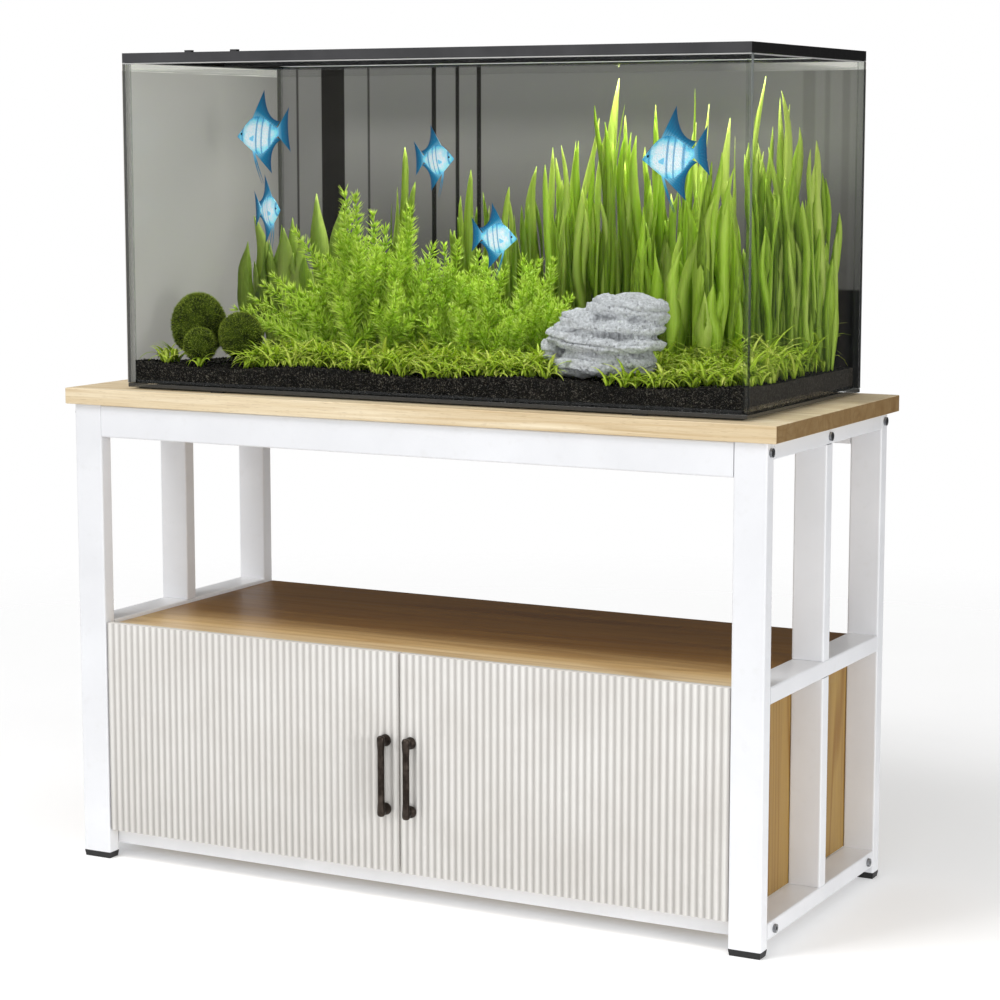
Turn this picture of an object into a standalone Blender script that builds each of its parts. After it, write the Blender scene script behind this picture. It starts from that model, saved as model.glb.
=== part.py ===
"""Planted aquarium on a steel-framed stand with an open shelf and a two-door cabinet.

Metres, +Z up. The origin is on the floor under the middle of the footprint, the front faces -Y
and the long side runs along X. Every sub-part is one object; empties mark the three joint axes.
"""

import math

import bmesh
import bpy
from mathutils import Matrix, Vector

# Clearances
GAP = 0.0003            # between pieces that rest on or butt against each other
GLASS_JOINT = 0.0005    # silicone line between two panes

# Table top and steel stand
TABLE_LENGTH = 1.200
TABLE_FRONT_Y = -0.235
TABLE_REAR_Y = 0.265
TABLE_TOP_Z = 0.755
TABLE_THICKNESS = 0.025
STAND_HALF_LENGTH = 0.585
STAND_FRONT_Y = -0.230
STAND_REAR_Y = 0.255
TUBE_WIDTH = 0.050      # along X in the end frames
TUBE_DEPTH = 0.025
TUBE_WALL = 0.0012
TUBE_CORNER = 0.0025
TUBE_CORNER_STEPS = 3
APRON_HEIGHT = 0.050
SHELF_RAIL_Z = 0.361    # undersides of the end frames' cross rails
BOTTOM_RAIL_Z = 0.021
MID_POST_Y = 0.0100     # centre of the middle posts
FOOT_HEIGHT = 0.010
FOOT_TAPER = 0.0015
FOOT_STEM_HEIGHT = 0.014
FOOT_STEM_INSET = 0.002
BOTTOM_BEAM_INSET = 0.025

# Frame bolts
BOLT_RADIUS = 0.0065
BOLT_HEAD = 0.0035
BOLT_SOCKET_RADIUS = 0.0030
BOLT_SOCKET_DEPTH = 0.0020
BOLT_TOP_Z = 0.716
BOLT_SIDES = 16

# Cabinet
BOARD = 0.015
BACK_BOARD = 0.003
BACK_BOARD_Y = 0.2335
SHELF_TOP_Z = 0.380
SHELF_REAR_Y = 0.255
DOOR_BOTTOM_Z = 0.048
DOOR_TOP_Z = 0.384
DOOR_OUTER_X = 0.533
DOOR_SEAM = 0.003
DOOR_THICKNESS = 0.015
RIB_COUNT = 45
RIB_DEPTH = 0.0028
RIB_STEPS = 4

# Door handles and hinges
HANDLE_X = 0.0215
HANDLE_CENTRE_Z = 0.198
HANDLE_LENGTH = 0.124
HANDLE_POST_SPACING = 0.105
HANDLE_STANDOFF = 0.0155
HANDLE_RADIUS = 0.0062
HANDLE_POST_RADIUS = 0.0055
HANDLE_BASE_RADIUS = 0.0095
HINGE_HEIGHT = 0.018
HINGE_FROM_END = 0.062
HINGE_PLATE = 0.0035
HINGE_ARM_RISE = 0.014
HINGE_ARM_REACH = 0.070
HINGE_NOSE_DEPTH = 0.012
HINGE_NOSE_RISE = 0.024
HINGE_NOSE_SLOPE = 0.006
HINGE_TAIL_LENGTH = 0.012
HINGE_ROOT_INSET = 0.010
HINGE_WAIST_INSET = 0.006
HINGE_WAIST_REACH = 0.020
HINGE_PLATE_START = 0.022

# Tank
TANK_LEFT_X = -0.5025
TANK_RIGHT_X = 0.5425
TANK_FRONT_Y = -0.201
TANK_REAR_Y = 0.247
TANK_BASE_Z = 0.758
TANK_TOP_Z = 1.258
GLASS = 0.008
BOTTOM_GLASS = 0.006
MAT_INSET = 0.012

# Lid: a rim with a fixed rear deck, a hinged front flap and a lamp under the deck
LID_TOP_Z = 1.273
LID_RIM = 0.016
LID_SEAT = 0.008        # part of the rim that the flap rests on
LID_SKIN = 0.003
LID_HATCH_INSET = 0.012 # from the hinge's axis to the opening's rear edge
CUTTER_OVERLAP = 0.010  # how far a cutter reaches past the faces that it cuts
FLAP_CLEARANCE = 0.0008
LID_HINGE_Y = 0.070
KNUCKLE_RADIUS = 0.0030
KNUCKLE_RELIEF = 0.0036
KNUCKLE_LENGTH = 0.026
KNUCKLE_SIDE_GAP = 0.0006
KNUCKLE_FROM_SIDE = 0.090
LIFT_TAB_X = (-0.387, -0.304)
LIFT_TAB_SIZE = (0.012, 0.008, 0.0032)
LAMP_LENGTH = 0.920
LAMP_WIDTH = 0.070
LAMP_THICKNESS = 0.009

# Contents
GRAVEL_LEVEL_Z = 0.797
GRAVEL_CELLS_X = 34
GRAVEL_CELLS_Y = 8
GRAVEL_SWELL = 0.0050
GRAVEL_WAVELENGTH = 0.360
GRAVEL_WAVE_START_X = -0.260
GRAVEL_REAR_FALL = 0.020
CLEAR_OF_GRAVEL = 0.0015
ROCK_CENTRE = (0.284, -0.128)
ROCK_HALF_SIZE = (0.092, 0.052, 0.066)
ROCK_SHARE_ABOVE = 0.92 # of its half height, from the gravel to its centre
ROCK_LAYER_BULGE = 0.06
ROCK_LAYER_RATE = 3.4 * math.pi
ROCK_LAYER_SKEW = 1.5
ROCK_LEAN = 0.16
ROCK_LEAN_LEVEL = 0.3
MOSS_CUSHION = ((-0.386, -0.128, 0.8120), (0.078, 0.040, 0.012))
MOSS_BALLS = (
    # centre, half sizes
    ((-0.430, -0.110, 0.8515), (0.0458, 0.0458, 0.0535)),
    ((-0.338, -0.130, 0.8390), (0.0366, 0.0366, 0.0395)),
    ((-0.394, -0.160, 0.8245), (0.0285, 0.0285, 0.0300)),
)
PLANT_RING_POINTS = 12
PLANT_CLEAR_OF_GRAVEL = 0.0035
PLANT_BULGE = 0.25      # share of the half depth that the middle of each ring adds
PLANT_STATIONS = (
    # x, middle y, half depth, top z
    (-0.345, 0.090, 0.030, 0.870),
    (-0.290, 0.085, 0.075, 0.980),
    (-0.220, 0.080, 0.090, 1.050),
    (-0.140, 0.080, 0.095, 1.030),
    (-0.070, 0.080, 0.095, 0.985),
    (0.020, 0.085, 0.095, 1.010),
    (0.120, 0.095, 0.090, 1.060),
    (0.220, 0.095, 0.090, 1.090),
    (0.320, 0.090, 0.095, 1.100),
    (0.420, 0.085, 0.090, 1.040),
    (0.490, 0.085, 0.035, 0.900),
)


def material(name, colour, roughness, metallic=0.0, alpha=1.0):
    """A Principled material, made once and shared by every piece that asks for it."""
    made = bpy.data.materials.get(name)
    if made:
        return made
    made = bpy.data.materials.new(name)
    made.use_nodes = True
    shader = made.node_tree.nodes["Principled BSDF"]
    shader.inputs["Base Color"].default_value = (*colour, 1.0)
    shader.inputs["Roughness"].default_value = roughness
    shader.inputs["Metallic"].default_value = metallic
    shader.inputs["Alpha"].default_value = alpha
    return made


def white_steel():
    return material("white_steel", (0.80, 0.80, 0.81), 0.35)


def oak():
    return material("light_oak", (0.62, 0.47, 0.29), 0.50)


def door_paint():
    return material("door_paint", (0.82, 0.80, 0.77), 0.45)


def dark_bronze():
    return material("dark_bronze", (0.06, 0.05, 0.045), 0.35, metallic=1.0)


def bolt_steel():
    return material("bolt_steel", (0.55, 0.55, 0.56), 0.30, metallic=1.0)


def hinge_steel():
    return material("hinge_steel", (0.60, 0.60, 0.60), 0.28, metallic=1.0)


def black_rubber():
    return material("black_rubber", (0.02, 0.02, 0.02), 0.80)


def tank_glass():
    return material("tank_glass", (0.80, 0.88, 0.86), 0.03, alpha=0.35)


def lid_plastic():
    return material("lid_plastic", (0.035, 0.035, 0.037), 0.45)


def lamp_diffuser():
    return material("lamp_diffuser", (0.85, 0.87, 0.90), 0.40)


def black_gravel():
    return material("black_gravel", (0.03, 0.03, 0.03), 0.85)


def grey_rock():
    return material("grey_rock", (0.38, 0.38, 0.39), 0.90)


def moss_green():
    return material("moss_green", (0.05, 0.09, 0.02), 0.95)


def plant_green():
    return material("plant_green", (0.22, 0.42, 0.05), 0.60)


def new_object(name, bm, surface, location=(0.0, 0.0, 0.0)):
    """Turns a bmesh into a named object with outward faces."""
    bmesh.ops.recalc_face_normals(bm, faces=bm.faces)
    mesh = bpy.data.meshes.new(name)
    bm.to_mesh(mesh)
    bm.free()
    mesh.materials.append(surface)
    made = bpy.data.objects.new(name, mesh)
    made.location = location
    bpy.context.collection.objects.link(made)
    return made


def box(name, low, high, surface):
    """A cuboid between two corners, with its origin at its centre."""
    low, high = Vector(low), Vector(high)
    size = high - low
    bm = bmesh.new()
    bmesh.ops.create_cube(bm, size=1.0, matrix=Matrix.Diagonal((*size, 1.0)))
    return new_object(name, bm, surface, (low + high) / 2)


def cylinder(name, centre, radius, length, axis, surface, sides, end_radius=None):
    """A cylinder or cone about a centre; axis is the letter that it runs along."""
    turn = {
        "X": Matrix.Rotation(math.pi / 2, 4, "Y"),
        "Y": Matrix.Rotation(-math.pi / 2, 4, "X"),
        "Z": Matrix.Identity(4),
    }[axis]
    bm = bmesh.new()
    bmesh.ops.create_cone(
        bm,
        cap_ends=True,
        segments=sides,
        radius1=radius,
        radius2=radius if end_radius is None else end_radius,
        depth=length,
        matrix=turn,
    )
    made = new_object(name, bm, surface, centre)
    made.data.shade_smooth()
    made.data.set_sharp_from_angle(angle=math.radians(40))
    return made


def ellipsoid(name, centre, radii, surface, subdivisions):
    bm = bmesh.new()
    bmesh.ops.create_icosphere(bm, subdivisions=subdivisions, radius=1.0)
    bmesh.ops.scale(bm, vec=radii, verts=bm.verts)
    made = new_object(name, bm, surface, centre)
    made.data.shade_smooth()
    return made


def combine(target, others, operation):
    """Applies exact Booleans to target and removes the other solids."""
    for other in others:
        step = target.modifiers.new(operation.lower(), "BOOLEAN")
        step.operation = operation
        step.solver = "EXACT"
        step.object = other
    bpy.context.view_layer.update()
    evaluated = target.evaluated_get(bpy.context.evaluated_depsgraph_get())
    result = bpy.data.meshes.new_from_object(evaluated)
    target.modifiers.clear()
    target.data = result
    for other in others:
        bpy.data.objects.remove(other, do_unlink=True)
    return target


def rounded_rectangle(width, height, radius, steps):
    """Outline points, anticlockwise, with each corner an arc of the given steps."""
    points = []
    for corner in range(4):
        start = corner * math.pi / 2
        centre_x = (width / 2 - radius) * (1 if corner in (0, 3) else -1)
        centre_y = (height / 2 - radius) * (1 if corner in (0, 1) else -1)
        for step in range(steps + 1):
            angle = start + step / steps * math.pi / 2
            points.append((centre_x + radius * math.cos(angle), centre_y + radius * math.sin(angle)))
    return points


def tube(name, low, high, axis):
    """A rounded rectangular steel tube with open ends, between two corners."""
    low, high = Vector(low), Vector(high)
    centre = (low + high) / 2
    size = high - low
    along = "XYZ".index(axis)
    across = [i for i in range(3) if i != along]
    width, height = size[across[0]], size[across[1]]
    outer = rounded_rectangle(width, height, TUBE_CORNER, TUBE_CORNER_STEPS)
    inner = rounded_rectangle(
        width - 2 * TUBE_WALL, height - 2 * TUBE_WALL, TUBE_CORNER - TUBE_WALL, TUBE_CORNER_STEPS
    )
    bm = bmesh.new()

    def ring(outline, offset):
        made = []
        for u, v in outline:
            point = [0.0, 0.0, 0.0]
            point[along] = offset
            point[across[0]], point[across[1]] = u, v
            made.append(bm.verts.new(point))
        return made

    rings = [ring(outline, end * size[along] / 2) for end in (-1, 1) for outline in (outer, inner)]
    outer_start, inner_start, outer_end, inner_end = rings
    for first, second in (
        (outer_start, outer_end),
        (outer_end, inner_end),
        (inner_end, inner_start),
        (inner_start, outer_start),
    ):
        for i in range(len(outer)):
            j = (i + 1) % len(outer)
            bm.faces.new((first[i], first[j], second[j], second[i]))
    made = new_object(name, bm, white_steel(), centre)
    made.data.shade_smooth()
    made.data.set_sharp_from_angle(angle=math.radians(35))
    return made


def extruded_outline(name, outline, bottom_z, top_z, surface, origin=(0.0, 0.0, 0.0)):
    """A prism whose outline is drawn in X and Y; origin is where the object's own origin lies."""
    origin = Vector(origin)
    bm = bmesh.new()
    lower = [bm.verts.new(Vector((x, y, bottom_z)) - origin) for x, y in outline]
    face = bm.faces.new(lower)
    grown = bmesh.ops.extrude_face_region(bm, geom=[face])
    upper = [item for item in grown["geom"] if isinstance(item, bmesh.types.BMVert)]
    bmesh.ops.translate(bm, verts=upper, vec=(0.0, 0.0, top_z - bottom_z))
    return new_object(name, bm, surface, origin)


def loft(rings):
    """A closed skin over rings of equal numbers of points, capped at both ends."""
    bm = bmesh.new()
    made = [[bm.verts.new(point) for point in ring] for ring in rings]
    for near, far in zip(made, made[1:]):
        for i in range(len(near)):
            j = (i + 1) % len(near)
            bm.faces.new((near[i], near[j], far[j], far[i]))
    bm.faces.new(made[0])
    bm.faces.new(made[-1])
    return bm


def joint_axis(name, position):
    """An empty on a joint's axis, for the pieces that turn about it."""
    made = bpy.data.objects.new(name, None)
    made.location = position
    made.empty_display_size = 0.05
    bpy.context.collection.objects.link(made)
    return made


def hang_on(axis, piece):
    """Parents a piece to an axis empty and leaves it where it is."""
    piece.parent = axis
    piece.location = piece.location - axis.location


# Stand -------------------------------------------------------------------------------------


def end_frame(side, sign):
    """Two legs, three cross rails and a middle post in two lengths; sign is -1 left, +1 right."""
    outer = sign * STAND_HALF_LENGTH
    inner = sign * (STAND_HALF_LENGTH - TUBE_WIDTH)
    left, right = min(outer, inner), max(outer, inner)
    table_under = TABLE_TOP_Z - TABLE_THICKNESS
    leg_top = table_under - GAP
    front_inside = STAND_FRONT_Y + TUBE_DEPTH
    rear_inside = STAND_REAR_Y - TUBE_DEPTH
    tube(f"{side}_front_leg", (left, STAND_FRONT_Y, FOOT_HEIGHT), (right, front_inside, leg_top), "Z")
    tube(f"{side}_rear_leg", (left, rear_inside, FOOT_HEIGHT), (right, STAND_REAR_Y, leg_top), "Z")
    rails = {
        "top_rail": leg_top - TUBE_DEPTH,
        "shelf_rail": SHELF_RAIL_Z,
        "bottom_rail": BOTTOM_RAIL_Z,
    }
    for rail, bottom in rails.items():
        tube(
            f"{side}_{rail}",
            (left, front_inside + GAP, bottom),
            (right, rear_inside - GAP, bottom + TUBE_DEPTH),
            "Y",
        )
    post_front = MID_POST_Y - TUBE_DEPTH / 2
    post_rear = MID_POST_Y + TUBE_DEPTH / 2
    shelf_rail_top = SHELF_RAIL_Z + TUBE_DEPTH
    bottom_rail_top = BOTTOM_RAIL_Z + TUBE_DEPTH
    tube(
        f"{side}_upper_mid_post",
        (left, post_front, shelf_rail_top + GAP),
        (right, post_rear, rails["top_rail"] - GAP),
        "Z",
    )
    tube(
        f"{side}_lower_mid_post",
        (left, post_front, bottom_rail_top + GAP),
        (right, post_rear, SHELF_RAIL_Z - GAP),
        "Z",
    )


def beams():
    """The five long tubes that bolt between the two end frames."""
    reach = STAND_HALF_LENGTH - TUBE_WIDTH - GAP
    top = TABLE_TOP_Z - TABLE_THICKNESS - GAP
    low_top = BOTTOM_RAIL_Z + TUBE_DEPTH
    front = STAND_FRONT_Y
    rear = STAND_REAR_Y
    tube("front_top_beam", (-reach, front, top - APRON_HEIGHT), (reach, front + TUBE_DEPTH, top), "X")
    tube("rear_top_beam", (-reach, rear - TUBE_DEPTH, top - APRON_HEIGHT), (reach, rear, top), "X")
    half_width = TUBE_WIDTH / 2
    tube(
        "middle_top_beam",
        (-reach, MID_POST_Y - half_width, top - TUBE_DEPTH),
        (reach, MID_POST_Y + half_width, top),
        "X",
    )
    for name, near_edge in (
        ("front_bottom_beam", front + BOTTOM_BEAM_INSET),
        ("rear_bottom_beam", rear - BOTTOM_BEAM_INSET - TUBE_WIDTH),
    ):
        tube(name, (-reach, near_edge, BOTTOM_RAIL_Z), (reach, near_edge + TUBE_WIDTH, low_top), "X")


def bolt(name, y, z, sign):
    """A low round head with a hexagon socket, on an end frame's outer face."""
    face_x = sign * (STAND_HALF_LENGTH + GAP)
    centre = (face_x + sign * BOLT_HEAD / 2, y, z)
    head = cylinder(name, centre, BOLT_RADIUS, BOLT_HEAD, "X", bolt_steel(), BOLT_SIDES)
    cutter_length = BOLT_SOCKET_DEPTH + CUTTER_OVERLAP
    cutter_x = face_x + sign * (BOLT_HEAD - BOLT_SOCKET_DEPTH + cutter_length / 2)
    socket = cylinder(
        name + "_socket", (cutter_x, y, z), BOLT_SOCKET_RADIUS, cutter_length, "X", bolt_steel(), 6
    )
    combine(head, [socket], "DIFFERENCE")


def bolts(side, sign):
    beam_centre = BOTTOM_RAIL_Z + TUBE_DEPTH / 2
    bottom_inset = BOTTOM_BEAM_INSET + TUBE_WIDTH / 2
    places = {
        "front_top": (STAND_FRONT_Y + TUBE_DEPTH / 2, BOLT_TOP_Z),
        "middle_top": (MID_POST_Y, BOLT_TOP_Z),
        "rear_top": (STAND_REAR_Y - TUBE_DEPTH / 2, BOLT_TOP_Z),
        "front_bottom": (STAND_FRONT_Y + bottom_inset, beam_centre),
        "rear_bottom": (STAND_REAR_Y - bottom_inset, beam_centre),
    }
    for place, (y, z) in places.items():
        bolt(f"{side}_{place}_bolt", y, z, sign)


def foot(name, x, y):
    """A plastic end cap: a slightly tapered pad with a stem inside the leg tube."""
    pad_top = FOOT_HEIGHT - GAP
    levels = (
        (0.0, FOOT_TAPER),
        (pad_top, 0.0),
        (pad_top, FOOT_STEM_INSET),
        (pad_top + FOOT_STEM_HEIGHT, FOOT_STEM_INSET),
    )
    rings = []
    for z, inset in levels:
        half_x = TUBE_WIDTH / 2 - inset
        half_y = TUBE_DEPTH / 2 - inset
        rings.append([(half_x * sx, half_y * sy, z) for sx, sy in ((-1, -1), (1, -1), (1, 1), (-1, 1))])
    new_object(name, loft(rings), black_rubber(), (x, y, 0.0))


def feet():
    x = STAND_HALF_LENGTH - TUBE_WIDTH / 2
    front = STAND_FRONT_Y + TUBE_DEPTH / 2
    rear = STAND_REAR_Y - TUBE_DEPTH / 2
    for side, sign in (("left", -1), ("right", 1)):
        foot(f"{side}_front_foot", sign * x, front)
        foot(f"{side}_rear_foot", sign * x, rear)


def table_top():
    half = TABLE_LENGTH / 2
    bottom = TABLE_TOP_Z - TABLE_THICKNESS
    box("table_top", (-half, TABLE_FRONT_Y, bottom), (half, TABLE_REAR_Y, TABLE_TOP_Z), oak())


# Cabinet -----------------------------------------------------------------------------------


def cabinet_boards():
    """Side panels inside the end frames, floor, back and the open shelf above them."""
    inside = STAND_HALF_LENGTH - TUBE_WIDTH - GAP
    board_front = STAND_FRONT_Y + DOOR_THICKNESS + GAP
    floor_z = BOTTOM_RAIL_Z + TUBE_DEPTH + GAP
    shelf_under = SHELF_TOP_Z - BOARD
    panel_rear = BACK_BOARD_Y - GAP
    box(
        "left_side_panel",
        (-inside, board_front, floor_z),
        (-inside + BOARD, panel_rear, shelf_under - GAP),
        oak(),
    )
    box(
        "right_side_panel",
        (inside - BOARD, board_front, floor_z),
        (inside, panel_rear, shelf_under - GAP),
        oak(),
    )
    floor_reach = inside - BOARD - GAP
    box(
        "bottom_board",
        (-floor_reach, board_front, floor_z),
        (floor_reach, panel_rear, floor_z + BOARD),
        oak(),
    )
    box(
        "back_panel",
        (-inside, BACK_BOARD_Y, floor_z),
        (inside, BACK_BOARD_Y + BACK_BOARD, shelf_under - GAP),
        oak(),
    )
    box("shelf_board", (-inside, board_front, shelf_under), (inside, SHELF_REAR_Y, SHELF_TOP_Z), oak())


def fluted_outline(near_x, far_x):
    """Door outline: flat back, and half-round ribs across the front."""
    front = STAND_FRONT_Y
    pitch = (far_x - near_x) / RIB_COUNT
    valley = front + RIB_DEPTH
    arc_radius = (pitch**2 / 4 + RIB_DEPTH**2) / (2 * RIB_DEPTH)
    outline = [(far_x, front + DOOR_THICKNESS), (near_x, front + DOOR_THICKNESS), (near_x, valley)]
    for rib in range(RIB_COUNT):
        for step in range(1, RIB_STEPS + 1):
            across = step / RIB_STEPS * pitch
            rise = math.sqrt(arc_radius**2 - (across - pitch / 2) ** 2) - (arc_radius - RIB_DEPTH)
            outline.append((near_x + rib * pitch + across, valley - rise))
    return outline


def handle(name, x):
    """A straight bar on two posts that flare out to round bases on the door."""
    door_face = STAND_FRONT_Y
    bar_y = door_face - HANDLE_STANDOFF
    bar = cylinder(
        name, (x, bar_y, HANDLE_CENTRE_Z), HANDLE_RADIUS, HANDLE_LENGTH, "Z", dark_bronze(), 12
    )
    posts = []
    for end in (-1, 1):
        z = HANDLE_CENTRE_Z + end * HANDLE_POST_SPACING / 2
        length = HANDLE_STANDOFF - GAP
        post = cylinder(
            f"{name}_post_{end}",
            (x, door_face - GAP - length / 2, z),
            HANDLE_BASE_RADIUS,
            length,
            "Y",
            dark_bronze(),
            12,
            end_radius=HANDLE_POST_RADIUS,
        )
        post.rotation_euler = (math.pi, 0.0, 0.0)
        posts.append(post)
    return combine(bar, posts, "UNION")


def door(side, sign):
    """A fluted door with its handle, hung on an axis at its outer front edge."""
    outer, inner = sign * DOOR_OUTER_X, sign * DOOR_SEAM / 2
    axis_at = (outer, STAND_FRONT_Y, 0.0)
    axis = joint_axis(f"{side}_door_axis", axis_at)
    outline = fluted_outline(min(outer, inner), max(outer, inner))
    panel = extruded_outline(
        f"{side}_door", outline, DOOR_BOTTOM_Z, DOOR_TOP_Z, door_paint(), origin=axis_at
    )
    hang_on(axis, panel)
    hang_on(axis, handle(f"{side}_handle", sign * HANDLE_X))


def hinge(name, sign, centre_z):
    """The fixed arm of a concealed hinge: a plate on the side panel and an arm towards the door."""
    panel_face = STAND_HALF_LENGTH - TUBE_WIDTH - GAP - BOARD - GAP
    door_back = STAND_FRONT_Y + DOOR_THICKNESS + GAP
    rear = door_back + HINGE_ARM_REACH
    plate_face = panel_face - HINGE_PLATE
    arm_face = panel_face - HINGE_ARM_RISE
    nose_face = panel_face - HINGE_NOSE_RISE
    arm_front = door_back + HINGE_NOSE_DEPTH
    outline = [
        (panel_face, rear),
        (plate_face, rear),
        (arm_face, rear - HINGE_TAIL_LENGTH),
        (arm_face, arm_front + HINGE_NOSE_SLOPE),
        (nose_face, arm_front),
        (nose_face, door_back + GAP),
        (panel_face - HINGE_ROOT_INSET, door_back + GAP),
        (panel_face - HINGE_WAIST_INSET, door_back + HINGE_WAIST_REACH),
        (panel_face, door_back + HINGE_PLATE_START),
    ]
    outline = [(sign * x, y) for x, y in outline]
    half = HINGE_HEIGHT / 2
    extruded_outline(name, outline, centre_z - half, centre_z + half, hinge_steel())


def hinges():
    for side, sign in (("left", -1), ("right", 1)):
        hinge(f"{side}_upper_hinge", sign, DOOR_TOP_Z - HINGE_FROM_END)
        hinge(f"{side}_lower_hinge", sign, DOOR_BOTTOM_Z + HINGE_FROM_END)


# Tank --------------------------------------------------------------------------------------


def tank():
    """Bottom pane on a thin mat, full-length front and back panes, and two end panes between."""
    left, right = TANK_LEFT_X, TANK_RIGHT_X
    front, rear = TANK_FRONT_Y, TANK_REAR_Y
    mat_top = TANK_BASE_Z - GAP
    pane_z = TANK_BASE_Z + BOTTOM_GLASS + GLASS_JOINT
    inset = MAT_INSET
    box(
        "tank_mat",
        (left + inset, front + inset, TABLE_TOP_Z + GAP),
        (right - inset, rear - inset, mat_top),
        black_rubber(),
    )
    glass = tank_glass()
    box("tank_bottom_glass", (left, front, TANK_BASE_Z), (right, rear, TANK_BASE_Z + BOTTOM_GLASS), glass)
    box("tank_front_glass", (left, front, pane_z), (right, front + GLASS, TANK_TOP_Z), glass)
    box("tank_back_glass", (left, rear - GLASS, pane_z), (right, rear, TANK_TOP_Z), glass)
    end_front = front + GLASS + GLASS_JOINT
    end_rear = rear - GLASS - GLASS_JOINT
    box("tank_left_glass", (left, end_front, pane_z), (left + GLASS, end_rear, TANK_TOP_Z), glass)
    box("tank_right_glass", (right - GLASS, end_front, pane_z), (right, end_rear, TANK_TOP_Z), glass)


def knuckle_places():
    """Start X of each pair of knuckles: the frame's own, then the flap's beside it."""
    return (
        TANK_LEFT_X + KNUCKLE_FROM_SIDE,
        TANK_RIGHT_X - KNUCKLE_FROM_SIDE - 2 * KNUCKLE_LENGTH,
    )


def knuckles(name, first_x, radius, extra):
    """One barrel on the lid hinge's axis at each end; extra lengthens it for a relief cut."""
    made = []
    for i, start in enumerate(knuckle_places()):
        centre = (start + first_x + KNUCKLE_LENGTH / 2, LID_HINGE_Y, LID_TOP_Z)
        length = KNUCKLE_LENGTH - KNUCKLE_SIDE_GAP + extra
        made.append(cylinder(f"{name}_{i}", centre, radius, length, "X", lid_plastic(), 12))
    return made


def lid_frame():
    """Rim on the glass with a rebate for the flap, a fixed rear deck and the hinge's barrels."""
    left, right, front, rear = TANK_LEFT_X, TANK_RIGHT_X, TANK_FRONT_Y, TANK_REAR_Y
    bottom = TANK_TOP_Z + GAP
    surface = lid_plastic()
    frame = box("lid_frame", (left, front, bottom), (right, rear, LID_TOP_Z), surface)
    seat_z = LID_TOP_Z - LID_SKIN - FLAP_CLEARANCE / 2
    hatch = box(
        "hatch",
        (left + LID_RIM, front + LID_RIM, bottom - CUTTER_OVERLAP),
        (right - LID_RIM, LID_HINGE_Y - LID_HATCH_INSET, LID_TOP_Z + CUTTER_OVERLAP),
        surface,
    )
    rim = LID_RIM - LID_SEAT
    rebate = box(
        "rebate",
        (left + rim, front + rim, seat_z),
        (right - rim, LID_HINGE_Y, LID_TOP_Z + CUTTER_OVERLAP),
        surface,
    )
    lamp_bay = box(
        "lamp_bay",
        (left + LID_RIM, LID_HINGE_Y + LID_SKIN, bottom - CUTTER_OVERLAP),
        (right - LID_RIM, rear - LID_RIM, LID_TOP_Z - LID_SKIN),
        surface,
    )
    reliefs = knuckles("relief", KNUCKLE_LENGTH, KNUCKLE_RELIEF, 2 * KNUCKLE_SIDE_GAP)
    combine(frame, [hatch, rebate, lamp_bay, *reliefs], "DIFFERENCE")
    combine(frame, knuckles("barrel", 0.0, KNUCKLE_RADIUS, 0.0), "UNION")


def lid_flap():
    """Front flap in the rim's rebate, with its own hinge barrels and two lift tabs."""
    surface = lid_plastic()
    edge = LID_RIM - LID_SEAT + FLAP_CLEARANCE
    low = (TANK_LEFT_X + edge, TANK_FRONT_Y + edge, LID_TOP_Z - LID_SKIN)
    high = (TANK_RIGHT_X - edge, LID_HINGE_Y - FLAP_CLEARANCE, LID_TOP_Z)
    flap = box("lid_flap", low, high, surface)
    combine(flap, knuckles("relief", 0.0, KNUCKLE_RELIEF, 2 * KNUCKLE_SIDE_GAP), "DIFFERENCE")
    additions = knuckles("barrel", KNUCKLE_LENGTH, KNUCKLE_RADIUS, 0.0)
    tab_length, tab_width, tab_height = LIFT_TAB_SIZE
    for i, x in enumerate(LIFT_TAB_X):
        tab_front = low[1] + FLAP_CLEARANCE
        additions.append(
            box(
                f"tab_{i}",
                (x - tab_length / 2, tab_front, LID_TOP_Z - LID_SKIN / 2),
                (x + tab_length / 2, tab_front + tab_width, LID_TOP_Z + tab_height),
                surface,
            )
        )
    combine(flap, additions, "UNION")
    axis = joint_axis("lid_flap_axis", (0.0, LID_HINGE_Y, LID_TOP_Z))
    hang_on(axis, flap)


def lamp():
    """A flat light bar under the lid's rear deck, shining down."""
    centre_x = (TANK_LEFT_X + TANK_RIGHT_X) / 2
    centre_y = (LID_HINGE_Y + TANK_REAR_Y - LID_RIM) / 2
    top = LID_TOP_Z - LID_SKIN - GAP
    box(
        "lamp",
        (centre_x - LAMP_LENGTH / 2, centre_y - LAMP_WIDTH / 2, top - LAMP_THICKNESS),
        (centre_x + LAMP_LENGTH / 2, centre_y + LAMP_WIDTH / 2, top),
        lamp_diffuser(),
    )


# Contents ----------------------------------------------------------------------------------


def gravel_z(x, y):
    """Top of the gravel: rolling along the front glass, lower towards the rear left corner."""
    from_front = (y - TANK_FRONT_Y) / (TANK_REAR_Y - TANK_FRONT_Y)
    from_left = (x - TANK_LEFT_X) / (TANK_RIGHT_X - TANK_LEFT_X)
    wave = math.sin(2 * math.pi * (x - GRAVEL_WAVE_START_X) / GRAVEL_WAVELENGTH)
    swell = GRAVEL_SWELL * wave * max(0.0, 1 - 4 * from_front)
    return GRAVEL_LEVEL_Z + swell - GRAVEL_REAR_FALL * from_front * (1 - from_left)


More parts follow.
